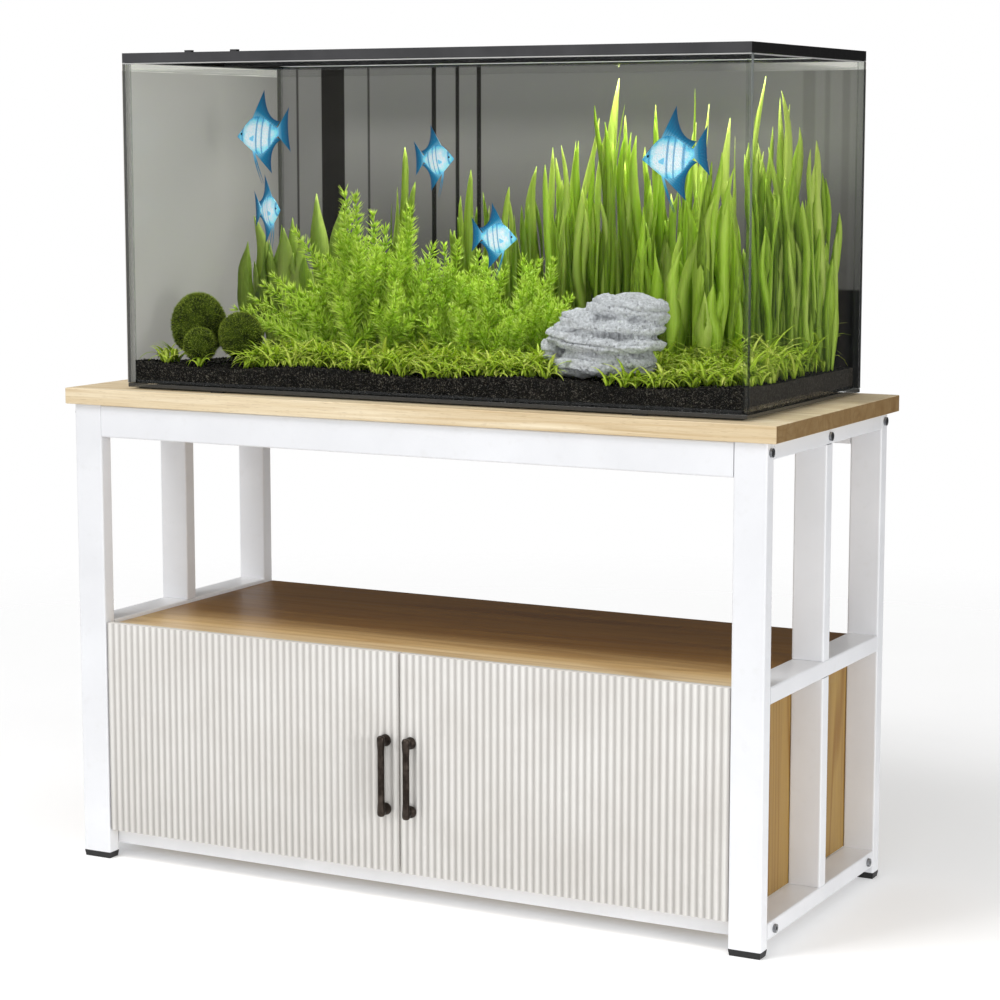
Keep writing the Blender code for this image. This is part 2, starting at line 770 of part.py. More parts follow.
def gravel():
    """A closed bed: a fine grid on top, walls just inside the glass and a flat underside."""
    inset = GLASS + GLASS_JOINT
    low_x, high_x = TANK_LEFT_X + inset, TANK_RIGHT_X - inset
    low_y, high_y = TANK_FRONT_Y + inset, TANK_REAR_Y - inset
    bottom = TANK_BASE_Z + BOTTOM_GLASS + GAP
    bm = bmesh.new()
    rows = []
    for j in range(GRAVEL_CELLS_Y + 1):
        y = low_y + (high_y - low_y) * j / GRAVEL_CELLS_Y
        row = []
        for i in range(GRAVEL_CELLS_X + 1):
            x = low_x + (high_x - low_x) * i / GRAVEL_CELLS_X
            row.append(bm.verts.new((x, y, gravel_z(x, y))))
        rows.append(row)
    for j in range(GRAVEL_CELLS_Y):
        for i in range(GRAVEL_CELLS_X):
            bm.faces.new((rows[j][i], rows[j][i + 1], rows[j + 1][i + 1], rows[j + 1][i]))
    corners = [bm.verts.new((x, y, bottom)) for x, y in (
        (low_x, low_y), (high_x, low_y), (high_x, high_y), (low_x, high_y)
    )]
    sides = (
        rows[0],
        [row[-1] for row in rows],
        rows[-1][::-1],
        [row[0] for row in rows[::-1]],
    )
    for i, edge in enumerate(sides):
        bm.faces.new([corners[i]] + edge + [corners[(i + 1) % 4]])
    bm.faces.new(corners)
    new_object("gravel", bm, black_gravel())


def rest_on_gravel(bm, centre):
    """Lifts the points that would reach into the gravel."""
    for vert in bm.verts:
        floor = gravel_z(centre[0] + vert.co.x, centre[1] + vert.co.y) + CLEAR_OF_GRAVEL
        vert.co.z = max(vert.co.z, floor - centre[2])


def rock():
    """A low boulder with bulging horizontal layers."""
    half_x, half_y, half_z = ROCK_HALF_SIZE
    centre = (*ROCK_CENTRE, GRAVEL_LEVEL_Z + half_z * ROCK_SHARE_ABOVE)
    bm = bmesh.new()
    bmesh.ops.create_icosphere(bm, subdivisions=3, radius=1.0)
    for vert in bm.verts:
        x, y, z = vert.co
        layer = 1.0 + ROCK_LAYER_BULGE * math.cos(ROCK_LAYER_RATE * z + ROCK_LAYER_SKEW * x)
        lean = ROCK_LEAN * (z + ROCK_LEAN_LEVEL)
        vert.co = Vector((half_x * (x * layer + lean), half_y * y * layer, half_z * z))
    rest_on_gravel(bm, centre)
    made = new_object("rock", bm, grey_rock(), centre)
    made.data.shade_smooth()


def moss_balls():
    """Three moss balls growing together from one low cushion."""
    surface = moss_green()
    cushion = ellipsoid("moss_balls", *MOSS_CUSHION, surface, 2)
    balls = [
        ellipsoid(f"ball_{i}", centre, radii, surface, 2)
        for i, (centre, radii) in enumerate(MOSS_BALLS)
    ]
    cluster = combine(cushion, balls, "UNION")
    bm = bmesh.new()
    bm.from_mesh(cluster.data)
    rest_on_gravel(bm, cluster.location)
    bm.to_mesh(cluster.data)
    bm.free()


def plants():
    """The planted thicket as one lofted solid: a ring of points at each station along X."""
    base = GRAVEL_LEVEL_Z + PLANT_CLEAR_OF_GRAVEL
    rings = []
    for x, middle_y, half_depth, top in PLANT_STATIONS:
        ring = []
        for i in range(PLANT_RING_POINTS):
            angle = 2 * math.pi * i / PLANT_RING_POINTS
            height = (1 + math.cos(angle)) / 2
            bulge = math.sin(angle) * (1 - PLANT_BULGE + PLANT_BULGE * math.sin(math.pi * height))
            ring.append((x, middle_y + half_depth * bulge, base + (top - base) * height))
        rings.append(ring)
    made = new_object("plants", loft(rings), plant_green())
    made.data.shade_smooth()


def build():
    for old in list(bpy.data.objects):
        bpy.data.objects.remove(old, do_unlink=True)
    for side, sign in (("left", -1), ("right", 1)):
        end_frame(side, sign)
        bolts(side, sign)
    beams()
    feet()
    table_top()
    cabinet_boards()
    door("left", -1)
    door("right", 1)
    hinges()
    tank()
    lid_frame()
    lid_flap()
    lamp()
    gravel()
    rock()
    moss_balls()
    plants()


build()
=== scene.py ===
"""Looks of the planted aquarium on its stand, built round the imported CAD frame."""
import math

import bmesh
import bpy
import numpy as np
from mathutils import Matrix, Vector, noise
from mathutils.bvhtree import BVHTree


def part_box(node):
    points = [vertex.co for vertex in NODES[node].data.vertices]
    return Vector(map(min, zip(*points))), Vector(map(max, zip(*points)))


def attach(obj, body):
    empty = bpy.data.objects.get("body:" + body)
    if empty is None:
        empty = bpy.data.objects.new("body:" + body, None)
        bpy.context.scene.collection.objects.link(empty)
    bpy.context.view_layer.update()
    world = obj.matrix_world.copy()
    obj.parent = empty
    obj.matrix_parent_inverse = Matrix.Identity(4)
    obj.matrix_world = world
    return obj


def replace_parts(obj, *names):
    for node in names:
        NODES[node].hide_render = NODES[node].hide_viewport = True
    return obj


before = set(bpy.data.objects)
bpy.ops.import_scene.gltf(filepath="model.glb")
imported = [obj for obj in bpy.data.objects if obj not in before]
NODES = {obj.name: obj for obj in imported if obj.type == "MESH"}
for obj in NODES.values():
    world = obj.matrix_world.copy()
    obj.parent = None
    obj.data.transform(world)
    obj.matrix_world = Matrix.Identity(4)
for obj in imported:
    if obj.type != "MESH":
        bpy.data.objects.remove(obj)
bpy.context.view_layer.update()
HAIR_GAP = 0.0002  # keeps faces that touch from lying in one plane


# Materials ---------------------------------------------------------------------------------


def srgb(red, green, blue):
    """A linear colour from screen values of 0 to 255."""

    def linear(value):
        value /= 255
        return value / 12.92 if value <= 0.04045 else ((value + 0.055) / 1.055) ** 2.4

    return (linear(red), linear(green), linear(blue), 1.0)


class Shade:
    """A node material, or the world's, with short calls for the nodes that it is made from."""

    def __init__(self, name, world=False):
        self.material = (bpy.data.worlds if world else bpy.data.materials).new(name)
        self.material.use_nodes = True
        self.tree = self.material.node_tree
        self.tree.nodes.clear()
        self.out = self.tree.nodes.new("ShaderNodeOutputWorld" if world else "ShaderNodeOutputMaterial")
        coordinates = self.tree.nodes.new("ShaderNodeTexCoord").outputs
        self.place, self.normal, self.way = (coordinates[k] for k in ("Object", "Normal", "Generated"))

    def add(self, kind, sockets, **settings):
        """A new node. Each socket takes another node's output or a plain value."""
        node = self.tree.nodes.new("ShaderNode" + kind)
        for name, value in settings.items():
            setattr(node, name, value)
        for key, value in sockets.items():
            if isinstance(value, bpy.types.NodeSocket):
                self.tree.links.new(value, node.inputs[key])
            else:
                node.inputs[key].default_value = value
        return node

    def stretch(self, x, y, z):
        return self.add("Mapping", {"Vector": self.place, "Scale": (x, y, z)}).outputs[0]

    def noise(self, scale, detail=3.0, vector=None, distortion=0.0):
        vector = self.place if vector is None else vector
        sockets = {"Vector": vector, "Scale": scale, "Detail": detail, "Distortion": distortion}
        return self.add("TexNoise", sockets).outputs[0]

    def cells(self, scale, output="Distance"):
        return self.add("TexVoronoi", {"Vector": self.place, "Scale": scale}).outputs[output]

    def calc(self, operation, *values):
        return self.add("Math", dict(enumerate(values)), operation=operation).outputs[0]

    def plus(self, first, second):
        return self.calc("ADD", first, second)

    def times(self, first, second):
        return self.calc("MULTIPLY", first, second)

    def away(self, value, centre):
        """How far value is from centre."""
        return self.calc("ABSOLUTE", self.calc("SUBTRACT", value, centre))

    def spread(self, value, low, high, to_low=0.0, to_high=1.0):
        """value from low to high, turned into to_low to to_high and held there beyond."""
        sockets = {0: value, 1: low, 2: high, 3: to_low, 4: to_high}
        return self.add("MapRange", sockets).outputs[0]

    def swing(self, value, low, high):
        """Noise, nearly all of which is from 0.3 to 0.7, turned into low to high."""
        return self.spread(value, 0.3, 0.7, low, high)

    def ramp(self, value, *stops):
        node = self.add("ValToRGB", {"Fac": value})
        elements = node.color_ramp.elements
        for element, (position, colour) in zip(elements, (stops[0], stops[-1])):
            element.position, element.color = position, colour
        for position, colour in stops[1:-1]:
            elements.new(position).color = colour
        return node.outputs["Color"]

    def mottle(self, value, first, second):
        """Two colours that noise changes between."""
        return self.ramp(value, (0.3, first), (0.7, second))

    def mix(self, share, first, second, blend="MIX"):
        sockets = {0: share, 6: first, 7: second}
        return self.add("Mix", sockets, data_type="RGBA", blend_type=blend).outputs[2]

    def axes(self, vector):
        return self.add("SeparateXYZ", {0: vector}).outputs

    def attribute(self, name):
        return self.add("Attribute", {}, attribute_name=name).outputs["Fac"]

    def bump(self, height, distance, strength=1.0, under=None):
        sockets = {"Height": height, "Distance": distance, "Strength": strength}
        if under is not None:
            sockets["Normal"] = under
        return self.add("Bump", sockets).outputs[0]

    def slant(self, least, most):
        """The share that a clear surface mirrors, most where it is seen at a slant."""
        facing = self.add("LayerWeight", {"Blend": 0.5}).outputs["Facing"]
        return self.spread(self.calc("POWER", facing, 5.0), 0.0, 1.0, least, most)

    def shader(self, kind, **sockets):
        return self.add(kind, sockets).outputs[0]

    def blend(self, share, first, second):
        """Two shaders in one."""
        return self.add("MixShader", {0: share, 1: first, 2: second}).outputs[0]

    def principled(self, colour, roughness, normal=None, **extra):
        sockets = {"Base Color": colour, "Roughness": roughness}
        if normal is not None:
            sockets["Normal"] = normal
        for name, value in extra.items():
            sockets[name.replace("_", " ").title().replace("Ior", "IOR")] = value
        return self.add("BsdfPrincipled", sockets).outputs[0]

    def finish(self, shader):
        self.tree.links.new(shader, self.out.inputs["Surface"])
        return self.material

    def paint(self, *sockets, **extra):
        return self.finish(self.principled(*sockets, **extra))


def powder_coat():
    s = Shade("white_powder_coat")
    tone = s.mottle(s.noise(7.0, 4.0), srgb(225, 226, 229), srgb(234, 235, 238))
    tone = s.mix(s.spread(s.noise(55.0, 6.0), 0.60, 0.78, 0.0, 0.16), tone, srgb(206, 205, 201))
    peel = s.bump(s.noise(650.0, 2.0), 0.0002, 0.5)
    return s.paint(tone, s.swing(s.noise(30.0), 0.30, 0.44), peel)


# Painted shade on the open shelf, cast by the table top: how dark it is from its front edge, 0, to well under
# the tank, 1.
SHELF_SHADE = (
    (0.0, (1, 1, 1, 1)), (0.2, (0.82, 0.68, 0.46, 1)), (0.48, (0.38, 0.24, 0.095, 1)),
    (1.0, (0.24, 0.145, 0.055, 1)),
)


def oak(name, along, stain=(1.0, 1.0, 1.0), gloss=0.42, figure=0.34, shaded=False):
    """Oak laminate, light unless stained, and darker on faces that look along X. along is the
    number of the axis that the grain follows and figure the strength of its bands. If shaded, it
    gets painted shade, darker away from the front."""
    s = Shade(name)

    def grain(across, lengthwise, detail, distortion=0.0):
        scale = [across] * 3
        scale[along] = lengthwise
        return s.noise(1.0, detail, s.stretch(*scale), distortion)

    streaks = grain(70.0, 1.8, 5.0, 0.9)
    rings = s.calc("SINE", s.times(grain(7.0, 0.55, 1.5, 0.3), 110.0))
    hair = s.spread(grain(650.0, 9.0, 3.0), 0.50, 0.72, 0.0, 0.35)
    pores = s.spread(grain(1500.0, 55.0, 2.0), 0.64, 0.72, 0.0, 0.45)
    tone = s.ramp(
        streaks, (0.28, srgb(202, 178, 138)), (0.48, srgb(224, 205, 170)), (0.72, srgb(240, 226, 197))
    )
    tone = s.mix(s.spread(rings, 0.35, 1.0, 0.0, figure), tone, srgb(196, 167, 122))
    tone = s.mix(hair, tone, srgb(184, 153, 108))
    tone = s.mix(pores, tone, srgb(140, 108, 68))
    sideways = s.spread(s.calc("ABSOLUTE", s.axes(s.normal)[0]), 0.5, 0.9)
    tone = s.mix(sideways, tone, srgb(158, 140, 112), "MULTIPLY")
    tone = s.mix(1.0, tone, (*stain, 1.0), "MULTIPLY")
    if shaded:
        # painted shade from the table top above, darker towards the back of the shelf
        depth = s.spread(s.axes(s.place)[1], -0.215, 0.15)
        tone = s.mix(1.0, tone, s.ramp(depth, *SHELF_SHADE), "MULTIPLY")
    relief = s.bump(s.plus(hair, pores), 0.00015, 0.6)
    specular = 0.2 if shaded else 0.4
    return s.paint(tone, s.swing(streaks, gloss, gloss + 0.13), relief, specular_ior_level=specular)


def door_paint():
    """Off-white paint, with painted shade in the bottoms of the flutes."""
    s = Shade("door_paint")
    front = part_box("left_door")[0].y
    # painted shade: the bottoms of the flutes are darker, on faces that look forward
    low = s.spread(s.axes(s.place)[1], front + 0.0006, front + 0.0027)
    forward = s.spread(s.axes(s.normal)[1], -0.6, -0.3, 0.62, 0.0)
    tone = s.mottle(s.noise(11.0, 4.0), srgb(215, 212, 207), srgb(223, 221, 217))
    tone = s.mix(s.times(low, forward), tone, srgb(158, 154, 150))
    strokes = s.noise(1.0, 3.0, s.stretch(500.0, 500.0, 14.0))
    return s.paint(tone, s.swing(strokes, 0.42, 0.56), s.bump(strokes, 0.0002, 0.4))


def metal(name, dark, light, roughness, grain):
    s = Shade(name)
    tone = s.ramp(s.noise(grain, 5.0), (0.35, dark), (0.7, light))
    polish = s.swing(s.noise(grain * 4, 3.0), roughness - 0.07, roughness + 0.08)
    return s.paint(tone, polish, s.bump(s.noise(grain * 9, 2.0), 0.0002, 0.3), metallic=1.0)


def moulded(name, dark, light, roughness, grain=900.0, distance=0.0003, shade_ends_and_underside=False):
    """Plastic or rubber with a fine moulded texture. When asked for, faces that look along X or
    down are darker: painted shade on the ends and the underside."""
    s = Shade(name)
    tone = s.ramp(s.noise(18.0, 5.0), (0.3, dark), (0.72, light))
    if shade_ends_and_underside:
        normal = s.axes(s.normal)
        ends = s.calc("MAXIMUM", s.calc("ABSOLUTE", normal[0]), s.times(normal[2], -1.0))
        # painted shade on the ends and the underside
        tone = s.mix(s.spread(ends, 0.5, 0.9), tone, srgb(9, 9, 9))
    texture = s.bump(s.cells(grain), distance, 0.6)
    polish = s.swing(s.noise(60.0, 4.0), roughness - 0.06, roughness + 0.08)
    return s.paint(tone, polish, texture, specular_ior_level=0.35 if shade_ends_and_underside else 0.5)


def glass(name, thin_axis, ground, body, clarity, right_edge_highlight=None, highlight_line=False):
    """Clear float glass that bends nothing: it mirrors a little, most at a slant. thin_axis is
    the number of the axis across the pane. ground is the colour of the pane's edges, body the
    share of them that isn't clear, and clarity what the rest lets through. An edge colour for the
    right half, when given, is a painted highlight on those edges, up to where it darkens. The
    highlight line, when asked for, is a painted highlight: a light line on the face just under
    the pane's upper edge."""
    s = Shade(name)
    edge = s.spread(s.calc("ABSOLUTE", s.axes(s.normal)[thin_axis]), 0.85, 0.95, 1.0, 0.0)
    tint = s.mottle(s.noise(3.0, 3.0), (0.984, 0.986, 0.985, 1), (0.990, 0.992, 0.991, 1))
    mirror = s.shader("BsdfGlossy", Roughness=s.spread(s.noise(14.0, 5.0), 0.4, 0.8, 0.01, 0.06))
    pane = s.blend(s.slant(0.0012, 0.4), s.shader("BsdfTransparent", Color=tint), mirror)
    place = s.axes(s.place)
    if right_edge_highlight is not None:
        # painted highlight: the edges on the right half are light, dark low down
        right_edge_highlight = s.mix(s.spread(place[2], 0.84, 1.10), srgb(34, 35, 34), right_edge_highlight)
        ground = s.mix(s.spread(place[0], -0.01, 0.01), ground, right_edge_highlight)
    ground = s.mix(s.spread(s.noise(260.0, 3.0), 0.35, 0.65, 0.0, 0.2), ground, srgb(90, 92, 91))
    solid = s.principled(ground, s.swing(s.noise(400.0), 0.08, 0.2))
    see = s.shader("BsdfTransparent", Color=(clarity, clarity * 1.03, clarity * 1.01, 1))
    if highlight_line:
        # painted highlight: a light line just under the pane's top edge
        line = s.spread(place[2], PANE_TOP - 0.0022, PANE_TOP - 0.0014, 0.0, 0.75)
        pane = s.blend(line, pane, s.principled(srgb(196, 196, 194), 0.3))
    return s.finish(s.blend(edge, pane, s.blend(body, see, solid)))


def clear_silicone():
    s = Shade("silicone_clear")
    tint = s.mottle(s.noise(40.0, 3.0), (0.86, 0.87, 0.86, 1), (0.92, 0.93, 0.92, 1))
    milky = s.principled(srgb(120, 122, 120), s.swing(s.noise(300.0), 0.15, 0.3))
    return s.finish(s.blend(0.03, s.shader("BsdfTransparent", Color=tint), milky))


def water_surface():
    s = Shade("water")
    tint = s.mottle(s.noise(4.0, 2.0), (0.975, 0.985, 0.978, 1), (0.982, 0.988, 0.985, 1))
    ripples = s.bump(s.noise(22.0, 3.0), 0.002, 0.25)
    mirror = s.shader("BsdfGlossy", Roughness=s.swing(s.noise(9.0), 0.01, 0.04), Normal=ripples)
    return s.finish(s.blend(s.slant(0.001, 0.5), s.shader("BsdfTransparent", Color=tint), mirror))


def film(s, tone, strip, z):
    """Finishes a film: cloudy, matt, with a painted glow in its own colour, though it is no lamp,
    and with a lighter strip above the water line, as strong as strip says, where the glow is strongest."""
    cloud = s.swing(s.noise(2.5, 2.0), 0.95, 1.0)
    tone = s.mix(1.0, tone, s.ramp(cloud, (0.0, (0, 0, 0, 1)), (1.0, (1, 1, 1, 1))), "MULTIPLY")
    above = s.times(s.spread(z, WATER_LINE - 0.001, WATER_LINE + 0.001), strip)
    # painted light: the film glows in its own colour, most in the strip
    painted_glow = s.mix(above, tone, (1.15, 1.12, 1.08, 1.0))
    tone = s.mix(above, s.mix(0.5, tone, (0.0, 0.0, 0.0, 1.0)), srgb(222, 218, 212))
    roughness = s.swing(s.noise(40.0), 0.5, 0.65)
    return s.paint(tone, roughness, specular_ior_level=0.15, emission_color=painted_glow, emission_strength=0.35)


DARK_BANDS = (
    # centre, half width, share
    (-0.468, 0.0022, 0.75), (-0.398, 0.0225, 0.93), (-0.3285, 0.0022, 0.75),
    (-0.204, 0.0042, 0.95), (-0.160, 0.0034, 0.95), (-0.120, 0.0040, 0.95),
)
FAINT_BANDS = ((0.452, 0.010), (0.482, 0.004), (0.512, 0.006))  # centre, half width


def rear_film():
    """Grey background film with painted shade that darkens it towards the gravel, printed upright
    bands and a black patch low on the right."""
    s = Shade("rear_film")
    x, _, z = s.axes(s.place)
    # painted shade: darker towards the gravel
    tone = s.ramp(
        s.spread(z, 0.80, 1.24),
        (0.0, srgb(78, 76, 75)), (0.5, srgb(128, 125, 123)), (1.0, srgb(156, 154, 151)),
    )
    corner = s.times(s.spread(x, 0.30, 0.44), s.spread(z, 1.05, 1.15))
    tone = s.mix(corner, tone, srgb(168, 166, 160))
    tone = s.mix(s.spread(x, -0.50, -0.30, 0.7, 0.0), tone, srgb(176, 173, 170))
    for centre, half, share in DARK_BANDS:
        band = s.spread(s.away(x, centre), half - 0.0009, half + 0.0009, share, 0.0)
        dark = s.ramp(s.spread(z, 0.85, 1.22), (0.0, srgb(9, 8, 6)), (1.0, srgb(26, 21, 17)))
        tone = s.mix(band, tone, dark)
    patch = s.times(s.spread(x, 0.425, 0.430), s.spread(z, 0.912, 0.916, 1.0, 0.0))
    tone = s.mix(patch, tone, srgb(5, 6, 7))
    for centre, half in FAINT_BANDS:
        band = s.spread(s.away(x, centre), half - 0.002, half + 0.002, 0.22, 0.0)
        tone = s.mix(band, tone, srgb(70, 60, 52))
    return film(s, tone, s.spread(x, 0.30, 0.52), z)


def side_film():
    s = Shade("side_film")
    _, y, z = s.axes(s.place)
    # painted shade: darker towards the rear corner
    tone = s.ramp(
        s.spread(y, -0.20, 0.247),
        (0.0, srgb(232, 228, 224)), (0.6, srgb(222, 218, 213)), (1.0, srgb(176, 173, 169)),
    )
    # painted shade: darker towards the gravel
    tone = s.mix(s.spread(z, 0.80, 1.20, 0.3, 0.0), tone, srgb(176, 171, 166))
    return film(s, tone, 1.0, z)


def gravel_stone():
    s = Shade("gravel_stone")
    stones = 600.0  # the scale of the cells
    tone = s.ramp(
        s.add("SeparateColor", {0: s.cells(stones, "Color")}).outputs[0],
        (0.0, srgb(5, 5, 4)), (0.58, srgb(14, 13, 11)), (0.84, srgb(42, 39, 33)), (1.0, srgb(98, 94, 86)),
    )
    tone = s.mix(s.spread(s.noise(30.0, 4.0), 0.4, 0.7, 0.0, 0.5), tone, srgb(12, 11, 10))
    # painted light: faces that look towards +X are lighter
    lit_right_faces = s.spread(s.axes(s.normal)[0], 0.6, 0.95, 0.0, 0.16)
    tone = s.mix(lit_right_faces, tone, srgb(120, 113, 104))
    relief = s.bump(s.calc("SUBTRACT", 1.0, s.cells(stones)), 0.0012, 1.0)
    return s.paint(tone, s.swing(s.noise(200.0), 0.5, 0.85), relief, specular_ior_level=0.12)


def rough_rock():
    s = Shade("rough_rock")
    tone = s.ramp(
        s.noise(240.0, 6.0),
        (0.30, srgb(176, 178, 181)), (0.50, srgb(203, 205, 209)), (0.70, srgb(226, 228, 232)),
    )
    tone = s.mix(s.spread(s.noise(16.0, 5.0), 0.52, 0.78, 0.0, 0.4), tone, srgb(166, 167, 164))
    pits = s.spread(s.cells(260.0), 0.0, 0.35, 1.0, 0.0)
    patchy = s.times(pits, s.spread(s.noise(60.0, 3.0), 0.45, 0.6))
    tone = s.mix(s.times(patchy, 0.85), tone, srgb(70, 70, 73))
    # painted shade: darker in the hollows and creases
    hollow_shade = s.spread(s.add("NewGeometry", {}).outputs["Pointiness"], 0.38, 0.485, 0.85, 0.0)
    tone = s.mix(hollow_shade, tone, srgb(76, 76, 79))
    relief = s.bump(s.noise(360.0, 6.0), 0.003, 0.9)
    relief = s.bump(s.calc("SUBTRACT", 1.0, patchy), 0.002, 0.8, relief)
    return s.paint(tone, 0.92, relief, specular_ior_level=0.25)


def leaf(name, dark, mid, light, share=0.42):
    """A leaf that lets a share of the light through. It is darker at its base, and each leaf has
    its own tone."""
    s = Shade(name)
    veins = s.noise(1.0, 2.0, s.stretch(620.0, 620.0, 12.0))
    value = s.plus(s.times(s.attribute("tone"), 0.60), s.times(s.attribute("along"), 0.24))
    value = s.plus(value, s.swing(veins, -0.08, 0.20))
    colour = s.ramp(value, (0.05, dark), (0.45, mid), (0.85, light))
    relief = s.bump(veins, 0.0004, 0.5)
    gloss = s.principled(colour, s.swing(veins, 0.36, 0.5), relief, specular_ior_level=0.3)
    through = s.shader("BsdfTranslucent", Color=s.mix(0.4, colour, light))
    return s.finish(s.blend(share, gloss, through))


def moss():
    s = Shade("moss")
    value = s.plus(s.times(s.attribute("tone"), 0.4), s.times(s.attribute("along"), 0.45))
    value = s.plus(value, s.swing(s.noise(70.0, 4.0), -0.05, 0.15))
    colour = s.ramp(value, (0.0, srgb(20, 28, 3)), (0.45, srgb(98, 118, 28)), (1.0, srgb(204, 220, 96)))
    return s.paint(colour, 0.95, s.bump(s.noise(900.0, 3.0), 0.001, 0.8), specular_ior_level=0.1)


FISH_BARS = ((0.115, 0.028), (0.40, 0.022), (0.50, 0.018), (0.64, 0.030))  # place, half width


def fish_skin():
    """Pale scales in the middle of the body, bright blue round its edge, and dark blue bars."""
    s = Shade("fish_skin")
    x, _, z = s.axes(s.place)
    middle = {0: s.stretch(2.4, 0.0, 3.0), 1: (-1.0, 0.0, 0.0)}
    reach = s.add("VectorMath", middle, operation="ADD").outputs[0]
    out = s.add("VectorMath", {0: reach}, operation="LENGTH").outputs["Value"]
    colour = s.ramp(
        s.plus(out, s.swing(s.noise(9.0, 4.0), -0.12, 0.12)),
        (0.50, srgb(240, 252, 255)), (0.80, srgb(132, 226, 252)), (1.04, srgb(12, 138, 190)),
    )
    for centre, half in FISH_BARS:
        slanted = s.plus(x, s.times(z, -0.12))
        bar = s.spread(s.away(slanted, centre), half * 0.4, half * 1.1, 0.75, 0.0)
        colour = s.mix(bar, colour, srgb(18, 124, 178))
    scales = s.cells(46.0)
    colour = s.mix(s.swing(scales, 0.0, 0.3), colour, srgb(96, 200, 244))
    shine = s.spread(scales, 0.1, 0.6, 0.22, 0.4)
    relief = s.bump(scales, 0.006, 0.5)
    # painted light: the skin glows a little in its own colour, though it is no lamp
    return s.paint(colour, shine, relief, emission_color=colour, emission_strength=0.38)


def fish_fin():
    s = Shade("fish_fin")
    colour = s.ramp(
        s.attribute("along"), (0.0, srgb(150, 224, 246)), (0.4, srgb(12, 138, 184)), (1.0, srgb(6, 82, 126))
    )
    rays = s.spread(s.calc("SINE", s.times(s.attribute("tone"), 70.0)), -0.2, 0.9, 0.0, 0.4)
    colour = s.mix(rays, colour, srgb(12, 86, 128))
    shine = s.spread(rays, 0.0, 0.45, 0.3, 0.45)
    # painted light: the fins glow a little in their own colour, though they are no lamp
    gloss = s.principled(colour, shine, emission_color=colour, emission_strength=0.3)
    return s.finish(s.blend(0.3, gloss, s.shader("BsdfTranslucent", Color=colour)))


def lamp_cover():
    """A milky cover over two rows of small lights."""
    s = Shade("lamp_cover")
    low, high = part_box("lamp")
    x, y, _ = s.axes(s.place)
    rows = s.times(s.calc("SUBTRACT", y, low.y), 2.0 / (high.y - low.y))
    lights = s.add("CombineXYZ", {0: s.times(x, 50.0), 1: rows}).outputs[0]
    spots = s.add("TexVoronoi", {"Vector": lights, "Scale": 1.0, "Randomness": 0.0}).outputs[0]
    colour = s.mix(s.spread(spots, 0.05, 0.5, 1.0, 0.0), srgb(214, 220, 226), srgb(255, 252, 240))
    roughness = s.swing(s.noise(80.0), 0.3, 0.42)
    return s.paint(colour, roughness, emission_color=colour, emission_strength=0.35)


# Meshes ------------------------------------------------------------------------------------


def piece(name, points, faces, material, body="root", sharp=None, slot=None, **attributes):
    """A mesh piece in the row frame that rides on a body. Its shading is smooth, or broken where
    faces meet at more than sharp degrees. Each attribute is one number for every point."""
    mesh = bpy.data.meshes.new(name)
    mesh.from_pydata(np.asarray(points, float).tolist(), [], [list(f) for f in faces])
    give(mesh, attributes)
    return placed(name, mesh, material, body, sharp)


def give(mesh, attributes):
    for key, values in attributes.items():
        layer = mesh.attributes.new(key, "FLOAT", "POINT")
        layer.data.foreach_set("value", np.asarray(values, np.float32))


def linked(name, data):
    """A new object in the scene."""
    made = bpy.data.objects.new(name, data)
    bpy.context.scene.collection.objects.link(made)
    return made


def placed(name, mesh, material, body="root", sharp=None):
    mesh.name = name
    mesh.materials.clear()
    mesh.materials.append(material)
    mesh.shade_smooth()
    if sharp is not None:
        mesh.set_sharp_from_angle(angle=math.radians(sharp))
    made = linked(name, mesh)
    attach(made, body)
    return made


def joined(parts):
    """Several (points, faces) as one."""
    points, faces, start = [], [], 0
    for part_points, part_faces in parts:
        points.append(np.asarray(part_points, float))
        faces += [[i + start for i in f] for f in part_faces]
        start += len(part_points)
    return np.concatenate(points), faces


def rings_faces(count, ring, closed_ends=True):
    """Faces of a tube of count rings, with ring points each, and its two ends."""
    faces = []
    for i in range(count - 1):
        for j in range(ring):
            k = (j + 1) % ring
            faces.append((i * ring + j, i * ring + k, (i + 1) * ring + k, (i + 1) * ring + j))
    if closed_ends:
        faces.append(tuple(range(ring))[::-1])
        faces.append(tuple((count - 1) * ring + j for j in range(ring)))
    return faces


def slab_faces(nx, ny):
    """Faces of a closed slab whose points are a lower and then an upper grid of nx by ny."""

    def at(i, j, level):
        return (level * nx + i) * ny + j

    faces = []
    for i in range(nx - 1):
        for j in range(ny - 1):
            faces.append((at(i, j, 1), at(i + 1, j, 1), at(i + 1, j + 1, 1), at(i, j + 1, 1)))
            faces.append((at(i, j, 0), at(i, j + 1, 0), at(i + 1, j + 1, 0), at(i + 1, j, 0)))
    for i in range(nx - 1):
        faces.append((at(i, 0, 0), at(i + 1, 0, 0), at(i + 1, 0, 1), at(i, 0, 1)))
        faces.append((at(i + 1, ny - 1, 0), at(i, ny - 1, 0), at(i, ny - 1, 1), at(i + 1, ny - 1, 1)))
    for j in range(ny - 1):
        faces.append((at(0, j + 1, 0), at(0, j, 0), at(0, j, 1), at(0, j + 1, 1)))
        faces.append((at(nx - 1, j, 0), at(nx - 1, j + 1, 0), at(nx - 1, j + 1, 1), at(nx - 1, j, 1)))
    return faces


def many(single, count, stride):
    """The faces of count copies of a form that has stride points."""
    return (np.array(single)[None] + (np.arange(count) * stride)[:, None, None]).reshape(-1, len(single[0]))


def unit(vectors):
    return vectors / np.linalg.norm(vectors, axis=-1, keepdims=True)


def drained(mesh):
    """The points and faces of a bmesh, which is then freed."""
    mesh.verts.index_update()
    points = [tuple(v.co) for v in mesh.verts]
    faces = [[v.index for v in f.verts] for f in mesh.faces]
    mesh.free()
    return points, faces


